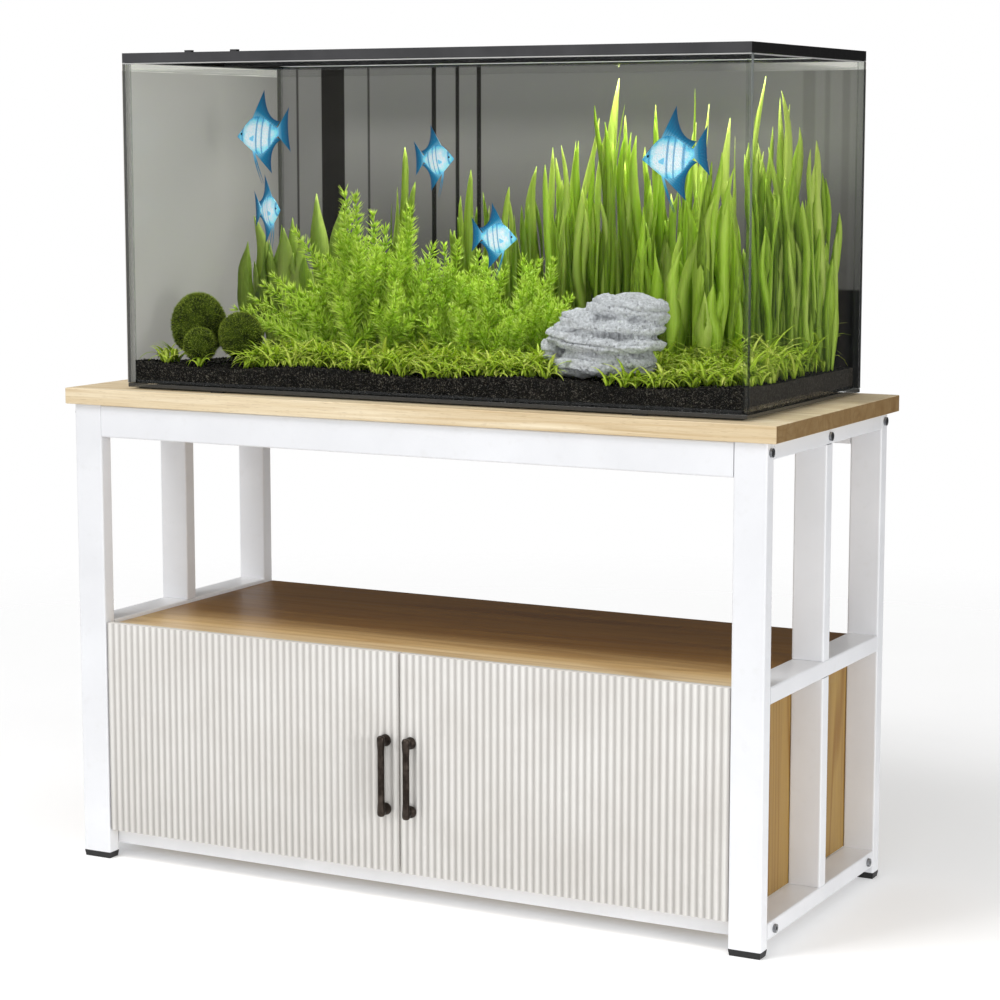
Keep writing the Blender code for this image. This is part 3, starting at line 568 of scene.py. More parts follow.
def block(low, high, chamfer=0.0):
    """A box with chamfered edges."""
    mesh = bmesh.new()
    bmesh.ops.create_cube(mesh, size=1.0)
    low, high = Vector(low), Vector(high)
    for vertex in mesh.verts:
        vertex.co = Vector((low[i] + high[i]) / 2 + vertex.co[i] * (high[i] - low[i]) for i in range(3))
    if chamfer:
        bmesh.ops.bevel(mesh, geom=mesh.edges[:], offset=chamfer, segments=2, affect="EDGES", profile=0.5)
    return drained(mesh)


def ball(centre, radii, subdivisions=3, power=2.0):
    """An ellipsoid, or a blockier form at a higher power."""
    mesh = bmesh.new()
    bmesh.ops.create_icosphere(mesh, subdivisions=subdivisions, radius=1.0)
    points, faces = drained(mesh)
    points = np.array(points)
    points /= (np.abs(points) ** power).sum(1, keepdims=True) ** (1 / power)
    return points * np.array(radii) + np.array(centre), faces


def prism(outline, low, high, axis):
    """An outline of two numbers per point, carried along an axis from low to high."""
    points = np.zeros((2, len(outline), 3))
    points[:, :, [i for i in range(3) if i != axis]] = outline
    points[0, :, axis], points[1, :, axis] = low, high
    return points.reshape(-1, 3), rings_faces(2, len(outline))


def turned(profile, base, direction, sides=24):
    """A solid of revolution. profile holds (distance along direction, radius) pairs."""
    turn = Vector((0, 0, 1)).rotation_difference(Vector(direction)).to_matrix()
    points = []
    for distance, radius in profile:
        for i in range(sides):
            a = 2 * math.pi * i / sides
            spoke = Vector((radius * math.cos(a), radius * math.sin(a), distance))
            points.append(Vector(base) + turn @ spoke)
    return np.array(points), rings_faces(len(profile), sides)


def fused(name, parts, voxel, smooth):
    """One closed mesh from solids that overlap, remeshed in voxels and smoothed."""
    points, faces = joined(parts)
    mesh = bpy.data.meshes.new(name)
    mesh.from_pydata(points.tolist(), [], faces)
    rough = linked(name + "_rough", mesh)
    remesh = rough.modifiers.new("remesh", "REMESH")
    remesh.mode, remesh.voxel_size = "VOXEL", voxel
    blur = rough.modifiers.new("smooth", "SMOOTH")
    blur.iterations, blur.factor = smooth, 0.5
    depsgraph = bpy.context.evaluated_depsgraph_get()
    made = bpy.data.meshes.new_from_object(rough.evaluated_get(depsgraph))
    bpy.data.objects.remove(rough)
    return made


# Finishes of the CAD nodes that stay -------------------------------------------------------

PANE_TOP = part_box("tank_front_glass")[1].z
WATER_DROP = 0.012  # from the panes' top edges down to the water
WATER_LINE = PANE_TOP - WATER_DROP
WHITE = powder_coat()
OAK_LONG = oak("oak_along_x", 0)
OAK_SHELF = oak("oak_shelf", 0, (1.0, 1.0, 1.0), 0.30, 0.5, True)
OAK_UPRIGHT = oak("oak_upright", 2, (1.42, 1.38, 0.92), 0.42, 1.0)
BRONZE = metal("dark_bronze", srgb(46, 40, 36), srgb(78, 70, 64), 0.42, 90.0)
ZINC = metal("zinc", srgb(120, 122, 126), srgb(176, 178, 180), 0.34, 160.0)
NICKEL = metal("nickel", srgb(168, 166, 162), srgb(208, 206, 202), 0.26, 110.0)
RUBBER = moulded("rubber", srgb(20, 20, 20), srgb(34, 34, 34), 0.8)
FOOT = moulded("foot_plastic", srgb(8, 8, 8), srgb(20, 20, 20), 0.5)
# the lid's ends and underside get painted shade
LID = moulded("lid_plastic", srgb(52, 52, 54), srgb(64, 64, 66), 0.5, 1300.0, 0.0002, True)
SILICONE = moulded("silicone", srgb(12, 12, 12), srgb(22, 22, 22), 0.26, 300.0, 0.0001)
SILICONE_CLEAR = clear_silicone()
PANES = {
    "bottom": glass("glass_flat", 2, srgb(58, 56, 52), 0.8, 0.45),
    # the front pane gets a painted highlight on its right edges and a painted highlight line
    "front": glass("glass_front", 1, srgb(30, 31, 30), 0.4, 0.45, srgb(176, 182, 180), True),
    "back": glass("glass_back", 1, srgb(26, 26, 26), 0.8, 0.45),
    "left": glass("glass_left", 0, srgb(146, 145, 140), 0.6, 0.8),
    # this pane gets a painted highlight line under its top edge
    "right": glass("glass_side", 0, srgb(120, 124, 122), 0.08, 0.88, None, True),
}
FINISHES = (
    # end of the nodes' names, material, chamfer, segments of the chamfer
    (("_leg", "_rail", "_post", "_beam"), WHITE, 0.0, 2),
    ("_bolt", ZINC, 0.0, 2),
    ("_foot", FOOT, 0.0006, 2),
    ("_hinge", NICKEL, 0.0004, 2),
    ("table_top", OAK_LONG, 0.0014, 3),
    ("shelf_board", OAK_SHELF, 0.0008, 2),
    ("bottom_board", OAK_LONG, 0.0008, 2),
    ("back_panel", OAK_LONG, 0.0003, 2),
    ("_side_panel", OAK_UPRIGHT, 0.0006, 2),
    ("tank_mat", RUBBER, 0.0004, 2),
    *((f"tank_{place}_glass", pane, 0.0007, 2) for place, pane in PANES.items()),
    ("lid_frame", LID, 0.0005, 2),
    ("lid_flap", LID, 0.0004, 2),
    ("lamp", lamp_cover(), 0.0012, 2),
)
WELD = 0.00001
SHARP_EDGE = 40  # degrees


def dress(target, material, chamfer, segments):
    """Gives a CAD node its material and, by modifiers alone, rounded edges."""
    target.data.materials[0] = material
    if chamfer:
        target.modifiers.new("weld", "WELD").merge_threshold = WELD
        bevel = target.modifiers.new("bevel", "BEVEL")
        bevel.width, bevel.segments, bevel.limit_method = chamfer, segments, "ANGLE"
        bevel.angle_limit = math.radians(SHARP_EDGE)
        bevel.harden_normals = True


for name, node in NODES.items():
    for ending, *finish in FINISHES:
        if name.endswith(ending):
            dress(node, *finish)

# Doors -------------------------------------------------------------------------------------

FLUTES = 45
FLUTE_DEPTH = 0.0028
FLUTE_SAMPLES = 12
DOOR_EDGE = 0.0006
DOOR_PAINT = door_paint()


def fluted_door(side):
    """A door with a front of soft upright waves and small chamfers round its top and bottom."""
    low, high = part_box(f"{side}_door")
    count = FLUTES * FLUTE_SAMPLES
    rise = 0.5 - 0.5 * np.cos(2 * math.pi * (np.arange(count + 1) / FLUTE_SAMPLES))
    front = low.y + FLUTE_DEPTH * (1 - rise)
    back = np.full_like(front, high.y)
    x = low.x + (high.x - low.x) * np.arange(count + 1) / count
    edge = DOOR_EDGE
    ring = (
        (front, low.z + edge), (front, high.z - edge), (front + edge, high.z), (back - edge, high.z),
        (back, high.z - edge), (back, low.z + edge), (back - edge, low.z), (front + edge, low.z),
    )
    points = np.stack([np.stack([x, y, np.full_like(x, z)], 1) for y, z in ring], 1).reshape(-1, 3)
    faces = rings_faces(count + 1, len(ring))
    made = piece(f"{side}_door_panel", points, faces, DOOR_PAINT, f"{side}_door", 50, "door_paint")
    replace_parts(made, f"{side}_door")


BAR_RADIUS = 0.0062
BASE_RADIUS = 0.0095
BAR_END = (  # distance from the bar's end, radius
    (0.0, 0.0016), (0.0008, 0.0042), (0.0030, 0.0058), (0.0070, BAR_RADIUS), (0.0130, 0.0059),
    (0.0240, 0.0052),
)
POST = (  # distance from the door, radius
    (0.0, BASE_RADIUS - 0.0008), (0.0008, BASE_RADIUS), (0.0034, BASE_RADIUS - 0.0002), (0.0062, 0.0084),
    (0.0095, 0.0066),
)


def handle(side):
    """A slim bar with rounded, slightly swollen ends on two posts that flare on to the door."""
    low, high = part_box(f"{side}_handle")
    x, foot_y, bar_y = (low.x + high.x) / 2, high.y, low.y + BAR_RADIUS
    length = high.z - low.z
    bar = [*BAR_END, *((length - distance, radius) for distance, radius in reversed(BAR_END))]
    parts = [turned(bar, (x, bar_y, low.z), (0, 0, 1))]
    for z in (low.z + BASE_RADIUS, high.z - BASE_RADIUS):
        parts.append(turned([*POST, (foot_y - bar_y, 0.0058)], (x, foot_y, z), (0, -1, 0)))
    shape = fused(f"{side}_pull_shape", parts, 0.0006, 4)
    pull = placed(f"{side}_pull", shape, BRONZE, f"{side}_door")
    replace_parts(pull, f"{side}_handle")


CUP_RADIUS = 0.0165
CUP = (  # distance from the door's back, radius
    (-0.0002, CUP_RADIUS - 0.0005), (0.0010, CUP_RADIUS), (0.0014, CUP_RADIUS - 0.0006),
    (0.0014, CUP_RADIUS - 0.0024), (0.0008, CUP_RADIUS - 0.0030), (0.0008, 0.0030), (0.0004, 0.0010),
)
CUP_SCREW = ((-0.0002, 0.0042), (0.0012, 0.0042), (0.0018, 0.0030), (0.0019, 0.0008))


def hinge_cups(side, sign):
    """Cups in a door's back, opposite the fixed arms, with a screw above and below each."""
    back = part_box(f"{side}_door")[1].y
    cups = []
    for level in ("upper", "lower"):
        low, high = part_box(f"{side}_{level}_hinge")
        z = (low.z + high.z) / 2
        x = min(abs(low.x), abs(high.x)) * sign - sign * (CUP_RADIUS + 0.0045)
        cups.append(turned(CUP, (x, back, z), (0, 1, 0), 40))
        for ear in (-1, 1):
            at = (x - sign * 0.004, back, z + ear * (CUP_RADIUS + 0.0035))
            cups.append(turned(CUP_SCREW, at, (0, 1, 0), 20))
    piece(f"{side}_hinge_cups", *joined(cups), NICKEL, f"{side}_door", 40, "hinge_steel")


for side, sign in (("left", -1), ("right", 1)):
    fluted_door(side)
    handle(side)
    hinge_cups(side, sign)

# Tank --------------------------------------------------------------------------------------

glass_low, glass_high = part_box("tank_front_glass")
inner_low = Vector((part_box("tank_left_glass")[1].x, glass_high.y, glass_low.z))
inner_high = Vector((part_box("tank_right_glass")[0].x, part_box("tank_back_glass")[0].y, glass_high.z))


def corner_bead(x, y, x_way, y_way, size):
    """The outline of a bead of silicone in a corner, hollowed by a finger."""
    sweep = [(size * (1 - math.sin(a)), size * (1 - math.cos(a))) for a in np.linspace(0, math.pi / 2, 6)]
    return [(x, y)] + [(x + x_way * u, y + y_way * v) for u, v in sweep]


def silicone():
    """Clear beads in the upright corners and black ones along the bottom."""
    g, clear_size, black_size = HAIR_GAP, 0.003, 0.0045
    x0, x1, y0, y1 = inner_low.x + g, inner_high.x - g, inner_low.y + g, inner_high.y - g
    z0, z1 = inner_low.z + g, inner_high.z
    x_sides, y_sides = ((x0, 1), (x1, -1)), ((y0, 1), (y1, -1))
    clear = [prism(corner_bead(x, y, u, v, clear_size), z0, z1, 2) for x, u in x_sides for y, v in y_sides]
    black = [prism(corner_bead(y, z0, v, 1, black_size), x0, x1, 0) for y, v in y_sides]
    black += [prism(corner_bead(x, z0, u, 1, black_size), y0, y1, 1) for x, u in x_sides]
    piece("silicone_black", *joined(black), SILICONE, sharp=50)
    piece("silicone_clear", *joined(clear), SILICONE_CLEAR, sharp=50)


def grid(x, y, *levels):
    """The points of grids over x and y, one for each level, which is an array of heights."""
    grid_x, grid_y = np.meshgrid(x, y, indexing="ij")
    return np.concatenate([np.stack([grid_x, grid_y, z], 2).reshape(-1, 3) for z in levels])


def water():
    """The water, with a meniscus up the glass and slight ripples."""
    gap, meniscus, reach = HAIR_GAP / 2, 0.0024, 0.0022
    near = np.array([0.0, 0.001, 0.002, 0.004, 0.008])

    def stations(low, high, count):
        low, high = low + gap, high - gap
        middle = np.linspace(low + 0.014, high - 0.014, count)
        return np.concatenate([low + near, middle, (high - near)[::-1]])

    x = stations(inner_low.x, inner_high.x, 70)
    y = stations(inner_low.y, inner_high.y, 32)
    grid_x, grid_y = np.meshgrid(x, y, indexing="ij")
    to_wall = np.minimum(
        np.minimum(grid_x - x[0], x[-1] - grid_x), np.minimum(grid_y - y[0], y[-1] - grid_y)
    )
    ripple = 0.0004 * (np.sin(grid_x * 41 + grid_y * 17) + np.sin(grid_x * 23 - grid_y * 52 + 1.0))
    top = WATER_LINE + ripple + meniscus * np.exp(-to_wall / reach)
    points = grid(x, y, np.full_like(top, inner_low.z + gap), top)
    piece("water", points, slab_faces(len(x), len(y)), water_surface(), sharp=60)


def films():
    """Background film on the outside of the rear and left panes."""
    thick, gap = 0.0006, HAIR_GAP
    low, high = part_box("tank_back_glass")
    rear = high.y + gap + thick
    shape = block((low.x, high.y + gap, low.z), (high.x, rear, high.z))
    piece("rear_background_film", *shape, rear_film(), sharp=40)
    low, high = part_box("tank_left_glass")
    shape = block((low.x - gap - thick, glass_low.y, low.z), (low.x - gap, rear, high.z))
    piece("side_background_film", *shape, side_film(), sharp=40)


def tank_pads():
    """Small rubber pads under the front and rear edges of the tank, beside the mat."""
    inset, half, room = 0.165, 0.011, 0.001
    low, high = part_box("tank_bottom_glass")
    mat_low, mat_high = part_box("tank_mat")
    z0, z1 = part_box("table_top")[1].z + HAIR_GAP, low.z - HAIR_GAP
    pads = []
    for x in (low.x + inset, high.x - inset):
        for y0, y1 in ((low.y + room, mat_low.y - room), (mat_high.y + room, high.y - room)):
            pads.append(block((x - half, y0, z0), (x + half, y1, z1), 0.0005))
    piece("tank_pads", *joined(pads), RUBBER, sharp=40, slot="black_rubber")


silicone()
water()
films()
tank_pads()

# Gravel, rock and moss ---------------------------------------------------------------------

gravel_mesh = NODES["gravel"].data
gravel_tree = BVHTree.FromPolygons(
    [v.co for v in gravel_mesh.vertices], [tuple(p.vertices) for p in gravel_mesh.polygons]
)
gravel_low, gravel_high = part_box("gravel")
rock_low, rock_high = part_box("rock")


def ground(x, y):
    """The height of the gravel's top at a place in plan."""
    x = min(max(x, gravel_low.x + 0.001), gravel_high.x - 0.001)
    y = min(max(y, gravel_low.y + 0.001), gravel_high.y - 0.001)
    return gravel_tree.ray_cast(Vector((x, y, gravel_high.z + 0.1)), Vector((0, 0, -1)))[0].z


GRAINS = 5200
ROUND, TURN = 6.28, 6.283  # about one turn, in radians


def gravel(stone):
    """The gravel bed with an uneven top, and loose grains on it."""
    x = np.linspace(gravel_low.x, gravel_high.x, 240)
    y = np.linspace(gravel_low.y, gravel_high.y, 104)
    top = np.zeros((len(x), len(y)))
    for i, px in enumerate(x):
        for j, py in enumerate(y):
            rough = noise.noise(Vector((px * 160, py * 160, 0.0))) * 0.0010
            rough += noise.noise(Vector((px * 380, py * 380, 4.0))) * 0.0007
            top[i, j] = ground(px, py) + rough - 0.0004
    points = grid(x, y, np.full_like(top, gravel_low.z), top)
    bed = piece("gravel_bed", points, slab_faces(len(x), len(y)), stone, sharp=50, slot="black_gravel")
    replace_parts(bed, "gravel")

    rng = np.random.default_rng(11)
    margin, front, at_front = 0.002, 0.03, GRAINS // 3
    low, high = np.array(gravel_low)[:2] + margin, np.array(gravel_high)[:2] - margin
    places = rng.uniform(low, high, (GRAINS, 2))
    places[:at_front, 1] = low[1] + rng.uniform(0, front, at_front)
    sizes = rng.uniform(0.0009, 0.0019, GRAINS)
    grain, faces = ball((0, 0, 0), (1, 1, 1), 1)
    shape = grain[None] * (sizes[:, None] * rng.uniform(0.65, 1.25, (GRAINS, 3)))[:, None, :]
    spin = rng.uniform(0, ROUND, GRAINS)[:, None]
    heights = np.array([ground(px, py) for px, py in places]) + sizes * 0.3
    points = np.stack(
        [
            shape[:, :, 0] * np.cos(spin) - shape[:, :, 1] * np.sin(spin) + places[:, 0:1],
            shape[:, :, 0] * np.sin(spin) + shape[:, :, 1] * np.cos(spin) + places[:, 1:2],
            shape[:, :, 2] + heights[:, None],
        ],
        2,
    ).reshape(-1, 3)
    for axis in (0, 1):
        points[:, axis] = points[:, axis].clip(gravel_low[axis], gravel_high[axis])
    faces = many(faces, GRAINS, len(grain)).tolist()
    piece("gravel_grains", points, faces, stone, sharp=20, slot="black_gravel")


# Each bed of the rock: its centre and half sizes, as shares of the rock's own half sizes.
ROCK_BEDS = (
    ((0.36, 0.05, 0.66), (0.62, 0.78, 0.34)), ((0.62, 0.20, 0.55), (0.37, 0.70, 0.36)),
    ((-0.30, -0.12, 0.38), (0.40, 0.66, 0.24)), ((0.18, 0.00, 0.20), (0.82, 0.92, 0.26)),
    ((-0.50, -0.10, 0.02), (0.42, 0.72, 0.30)), ((0.10, -0.02, -0.16), (0.90, 0.97, 0.26)),
    ((-0.84, -0.15, -0.32), (0.15, 0.40, 0.30)), ((-0.12, 0.00, -0.62), (0.66, 0.86, 0.36)),
    ((0.34, 0.10, -0.60), (0.50, 0.76, 0.34)), ((-0.56, -0.20, -0.68), (0.26, 0.60, 0.28)),
)
BED_HEIGHT = 0.021  # from one crease between beds to the next


def rock():
    """Rounded beds piled on each other, worn and pitted."""
    low, high = rock_low, rock_high
    centre, half = (low + high) / 2, (high - low) / 2
    beds = []
    for place, size in ROCK_BEDS:
        at = [centre[i] + place[i] * half[i] for i in range(3)]
        beds.append(ball(at, [size[i] * half[i] for i in range(3)], 4, 2.4))
    mesh = fused("rock_shape", beds, 0.0015, 3)
    for vertex, normal in zip(mesh.vertices, [v.normal.copy() for v in mesh.vertices]):
        p = vertex.co
        lean = p.z + (p.x - centre.x) * 0.12 + noise.noise(p * 18) * 0.011
        between = math.sin(lean * 2 * math.pi / BED_HEIGHT + 3.0 * noise.noise(p * 14))
        crease = -0.0062 * max(0.0, between - 0.45) / 0.55 * (0.6 + 0.9 * noise.noise(p * 22))
        lump = noise.fractal(p * 38, 1.0, 2.1, 4) * 0.0042
        grit = noise.fractal(p * 220, 0.8, 2.2, 3) * 0.0010
        hole = -0.0028 if noise.cell(p * 200) > 0.965 else 0.0
        worn = p + normal * (crease + lump + grit + hole - 0.0012)
        vertex.co = Vector(min(max(worn[i], low[i]), high[i]) for i in range(3))
    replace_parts(placed("layered_rock", mesh, rough_rock()), "rock")


MOSS_BALLS = (
    # centre, half sizes
    ((-0.430, -0.110, 0.8515), (0.0458, 0.0458, 0.0535)),
    ((-0.338, -0.130, 0.8390), (0.0366, 0.0366, 0.0395)),
    ((-0.394, -0.160, 0.8245), (0.0285, 0.0285, 0.0300)),
)
THIRDS = (0, 2.09, 4.19)  # the corners of a three-sided leaf or fibre, in radians round it


def moss_balls():
    """Balls of moss: a soft lumpy core and a dense coat of short fibres."""
    fibre, thick, per_square_metre = 0.0042, 0.00050, 2.6e6
    rng = np.random.default_rng(5)
    groups = []
    for centre, radii in MOSS_BALLS:
        core, core_faces = ball(centre, [r - fibre * 0.8 for r in radii], 4)
        lumps = np.array([noise.noise(Vector(p) * 60) for p in core])
        core = core + (core - centre) * (lumps * 0.03)[:, None]
        groups.append((core, core_faces, np.full(len(core), 0.1), np.zeros(len(core))))
        way = unit(rng.normal(size=(int(per_square_metre * radii[0] * radii[2]), 3)))
        way = way[way[:, 2] > -0.75]
        count = len(way)
        root = np.array(centre) + way * (np.array(radii) - fibre)
        lean = unit(way + rng.normal(0, 0.35, way.shape))
        tip = root + lean * rng.uniform(0.5, 1.3, (count, 1)) * fibre
        side = unit(np.cross(lean, rng.normal(size=way.shape)))
        third = np.cross(lean, side)
        corners = [root + thick * (side * math.cos(a) + third * math.sin(a)) for a in THIRDS]
        points = np.stack(corners + [tip], 1).reshape(-1, 3)
        faces = many([(0, 1, 3), (1, 2, 3), (2, 0, 3), (2, 1, 0)], count, 4).tolist()
        tone = np.repeat(rng.uniform(0, 1, count), 4)
        groups.append((points, faces, tone, np.tile([0.3, 0.3, 0.3, 1.0], count)))
    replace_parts(leafy("moss_clump", merged(groups), moss(), "moss_green"), "moss_balls")


# Plants ------------------------------------------------------------------------------------


def blades(roots, lengths, widths, starts, ends, headings, rng, outline, steps=6, ring=3,
           sway=0.0, thick=0.12, facings=None, twist=0.0):
    """Many curved blades as (points, faces, tone, along). Each leaves its root at the angle
    starts from upright and ends at the angle ends, towards headings. outline is the share of the
    full width at even places along the blade, and sway and thick are shares of its length and
    width. facings are the ways that the flat sides look, and twist is how far they turn to and
    fro along the blade. The sections have ring points, three or four."""
    count = len(lengths)
    t = np.linspace(0.0, 1.0, steps + 1)
    angles = starts[:, None] + (ends - starts)[:, None] * (t[None, :-1] + 0.5 / steps)
    step = (lengths / steps)[:, None]
    out = np.concatenate([np.zeros((count, 1)), np.cumsum(np.sin(angles) * step, 1)], 1)
    up = np.concatenate([np.zeros((count, 1)), np.cumsum(np.cos(angles) * step, 1)], 1)
    heading = np.stack([np.cos(headings), np.sin(headings)], 1)
    centre = roots[:, None] + np.concatenate([out[:, :, None] * heading[:, None], up[:, :, None]], 2)
    turn = np.repeat((headings if facings is None else facings)[:, None], steps + 1, 1)
    if twist:
        phase, turns = rng.uniform(0, ROUND, (count, 1)), rng.uniform(3, 9, (count, 1))
        turn = turn + twist * np.sin(phase + turns * t[None])
    side = np.stack([-np.sin(turn), np.cos(turn), np.zeros_like(turn)], 2)
    if sway:
        phase, turns = rng.uniform(0, ROUND, count), rng.uniform(0.6, 1.4, count)
        wave = np.sin(phase[:, None] + turns[:, None] * ROUND * t[None]) * (t * sway)[None]
        centre += side * (wave * lengths[:, None])[:, :, None]
    tangent = np.gradient(centre, axis=1)
    tangent /= np.linalg.norm(tangent, axis=2, keepdims=True) + 1e-9
    normal = np.cross(tangent, side)
    normal /= np.linalg.norm(normal, axis=2, keepdims=True) + 1e-9
    wide = np.interp(t, np.linspace(0, 1, len(outline)), outline)[None, :] * widths[:, None] / 2
    if twist:
        wide = wide * (1 + 0.10 * np.sin(rng.uniform(0, ROUND, (count, 1)) + 17 * t[None]))
    across, deep = ((-1, 1, 0), (0, 0, 1)) if ring == 3 else ((-1, 0, 1, 0), (0, -1, 0, 1))
    points = np.stack(
        [
            centre + side * (wide * a)[:, :, None] + normal * (wide * d * thick * 2)[:, :, None]
            for a, d in zip(across, deep)
        ],
        2,
    ).reshape(-1, 3)
    size = (steps + 1) * ring
    faces = many(rings_faces(steps + 1, ring, False), count, size).tolist()
    tops = [tuple(range(ring))[::-1]], [tuple(range(size - ring, size))]
    for end in tops:
        faces += many(end, count, size).tolist()
    tone = np.repeat(rng.uniform(0, 1, count), size)
    return points, faces, tone, np.tile(np.repeat(t, ring), count)


def merged(groups):
    """Several results of blades() as one."""
    points, faces = joined([g[:2] for g in groups])
    return points, faces, np.concatenate([g[2] for g in groups]), np.concatenate([g[3] for g in groups])


def leafy(name, group, material, slot="plant_green"):
    points, faces, tone, along = group
    return piece(name, points, faces, material, slot=slot, tone=tone, along=along)


def clear_of_hard_things(x, y, room=0.004):
    """True where nothing but gravel is under a plan place."""
    centre, half = (rock_low + rock_high) / 2, (rock_high - rock_low) / 2
    if ((x - centre.x) / (half.x + room)) ** 2 + ((y - centre.y) / (half.y + room)) ** 2 < 1:
        return False
    if any(math.hypot(x - at[0], y - at[1]) < radii[0] * 0.8 for at, radii in MOSS_BALLS):
        return False
    return inner_low.x + room < x < inner_high.x - room and inner_low.y + room < y < inner_high.y - room


def hold_inside(points, count):
    """Moves each of count leaves, whole, off the glass and under the water line."""
    margin = 0.0012
    low = np.array([inner_low.x + margin, inner_low.y + margin, -10.0])
    high = np.array([inner_high.x - margin, inner_high.y - margin, WATER_LINE - margin])
    leaves = points.reshape(count, -1, 3)
    leaves += (np.maximum(low - leaves.min(1), 0.0) - np.maximum(leaves.max(1) - high, 0.0))[:, None]


TUFTS = 660
ROOT_DEPTH = 0.002


def carpet(rng, outline, material):
    """Tufts of short curved grass over the front of the gravel, and all of it on the right."""
    tufts = []
    while len(tufts) < TUFTS:
        x = rng.uniform(-0.47, 0.53)
        y = inner_low.y + (0.175 if x < 0.24 else 0.38) * rng.uniform() ** 1.3
        density = 0.12 if x < -0.30 else 1.0
        if rng.uniform() < density and clear_of_hard_things(x, y):
            tufts.append((x, y))
    leaves = []
    for x, y in tufts:
        z = ground(x, y) - ROOT_DEPTH
        count = rng.integers(5, 8)
        size = rng.uniform(0.032, 0.062) + max(0.0, y - inner_low.y - 0.03) * 0.14
        for k in range(count):
            heading = TURN * k / count + rng.uniform(-0.5, 0.5)
            leaves.append((
                x + 0.002 * math.cos(heading), y + 0.002 * math.sin(heading), z, size * rng.uniform(0.7, 1.2),
                rng.uniform(-0.1, 0.4), rng.uniform(1.3, 2.9), heading,
            ))
    leaves = np.array(leaves)
    lengths, starts, ends, headings = leaves[:, 3:].T
    widths = rng.uniform(0.0048, 0.0080, len(leaves))
    group = blades(leaves[:, :3], lengths, widths, starts, ends, headings, rng, outline)
    hold_inside(group[0], len(leaves))
    leafy("carpet_grass", group, material)


def ribbons(name, places, rng, material, width, outline, sway, per_place, spread, lean):
    """Tall ribbon leaves. Each place is (x, y, z of the tip), in millimetres, and gets per_place
    leaves within spread of it."""
    leaves = []
    for x, y, tip in np.array(places) / 1000:
        for k in range(per_place):
            x_root, y_root = x + rng.uniform(-spread, spread), y + rng.uniform(-spread, spread)
            z = ground(x_root, y_root) - ROOT_DEPTH
            leaves.append((
                x_root, y_root, z, (tip - z) * (1.0 if k == 0 else rng.uniform(0.6, 0.97)),
                width * rng.uniform(0.75, 1.2), rng.uniform(-0.05, 0.10), rng.uniform(0.0, lean),
                rng.uniform(0, TURN), -1.57 + rng.uniform(-0.7, 0.7),
            ))
    leaves = np.array(leaves)
    group = blades(
        leaves[:, :3], *leaves[:, 3:8].T, rng, outline, 18, 4, sway, 0.10, leaves[:, 8], 0.4
    )
    hold_inside(group[0], len(leaves))
    leafy(name, group, material)


def needles(places, rng, reach, needle_width, whorl_gap):
    """Fronds with needles in whorls. Each place is (x, y, tip x, tip y, tip z)."""
    per_metre, rings = 1300, 14
    steps = np.linspace(0, 1, 3)
    wide = np.array((0.75, 1.0, 0.1)) * needle_width / 2
    needle = rings_faces(3, 3, False)
    groups = []
    for x, y, tip_x, tip_y, tip_z in places:
        base = np.array([x, y, ground(x, y) - 0.003])
        tip = np.array([tip_x, tip_y, tip_z])
        middle = (base + tip) / 2 + np.array([(base[0] - tip[0]) * 0.18, 0, (tip[2] - base[2]) * 0.10])
        t = np.linspace(0, 1, rings)[:, None]
        line = base * (1 - t) ** 2 + middle * 2 * t * (1 - t) + tip * t**2
        length = float(np.linalg.norm(np.diff(line, axis=0), axis=1).sum())
        count = int(length * per_metre)
        whorls = max(3, int(length / whorl_gap))
        where = (rng.integers(1, whorls + 1, count) + rng.normal(0, 0.10, count)) / whorls
        where = where.clip(0.03, 1.0)
        root = np.stack([np.interp(where, t[:, 0], line[:, i]) for i in range(3)], 1)
        tangent = unit(np.stack([np.interp(where, t[:, 0], np.gradient(line[:, i])) for i in range(3)], 1))
        around = rng.normal(size=(count, 3))
        around = unit(around - tangent * (around * tangent).sum(1, keepdims=True))
        taper = np.sqrt(np.clip(1.0 - where**9, 0.36, 1.0)) * (0.75 + 0.25 * np.minimum(1, where * 3))
        size = reach * taper * rng.uniform(0.7, 1.15, count)
        forward = rng.uniform(0.25, 0.75, count)[:, None] + (where[:, None] > 0.95) * 0.7
        way = unit(around + tangent * forward)
        droop = tangent * 0.35 + np.array([0, 0, 0.15])
        side = np.cross(way, around + rng.normal(0, 0.3, way.shape))
        side /= np.linalg.norm(side, axis=1, keepdims=True) + 1e-9
        deep = np.cross(way, side)
        curve = way[:, None] * steps[:, None] + droop[:, None] * steps[:, None] ** 2 * 0.5
        centre = root[:, None] + curve * size[:, None, None]
        corners = [
            centre + (side[:, None] * math.cos(a) + deep[:, None] * math.sin(a) * 0.45) * wide[:, None]
            for a in THIRDS
        ]
        points = np.stack(corners, 2).reshape(-1, 3)
        faces = many(needle, count, 9).tolist()
        for end in ((2, 1, 0), (6, 7, 8)):
            faces += many([end], count, 9).tolist()
        tone = np.repeat(rng.uniform(0, 1, count), 9)
        groups.append((points, faces, tone, np.tile(np.repeat(steps, 3), count) * 0.9 + 0.1))
        stem = []
        for i in range(rings):
            radius = 0.0016 * (1 - 0.6 * t[i, 0])
            for a in (0, 1.57, 3.14, 4.71):
                stem.append(line[i] + radius * np.array([math.cos(a), math.sin(a), 0]))
        groups.append((np.array(stem), rings_faces(rings, 4), np.full(56, 0.2), np.full(56, 0.1)))
    return merged(groups)


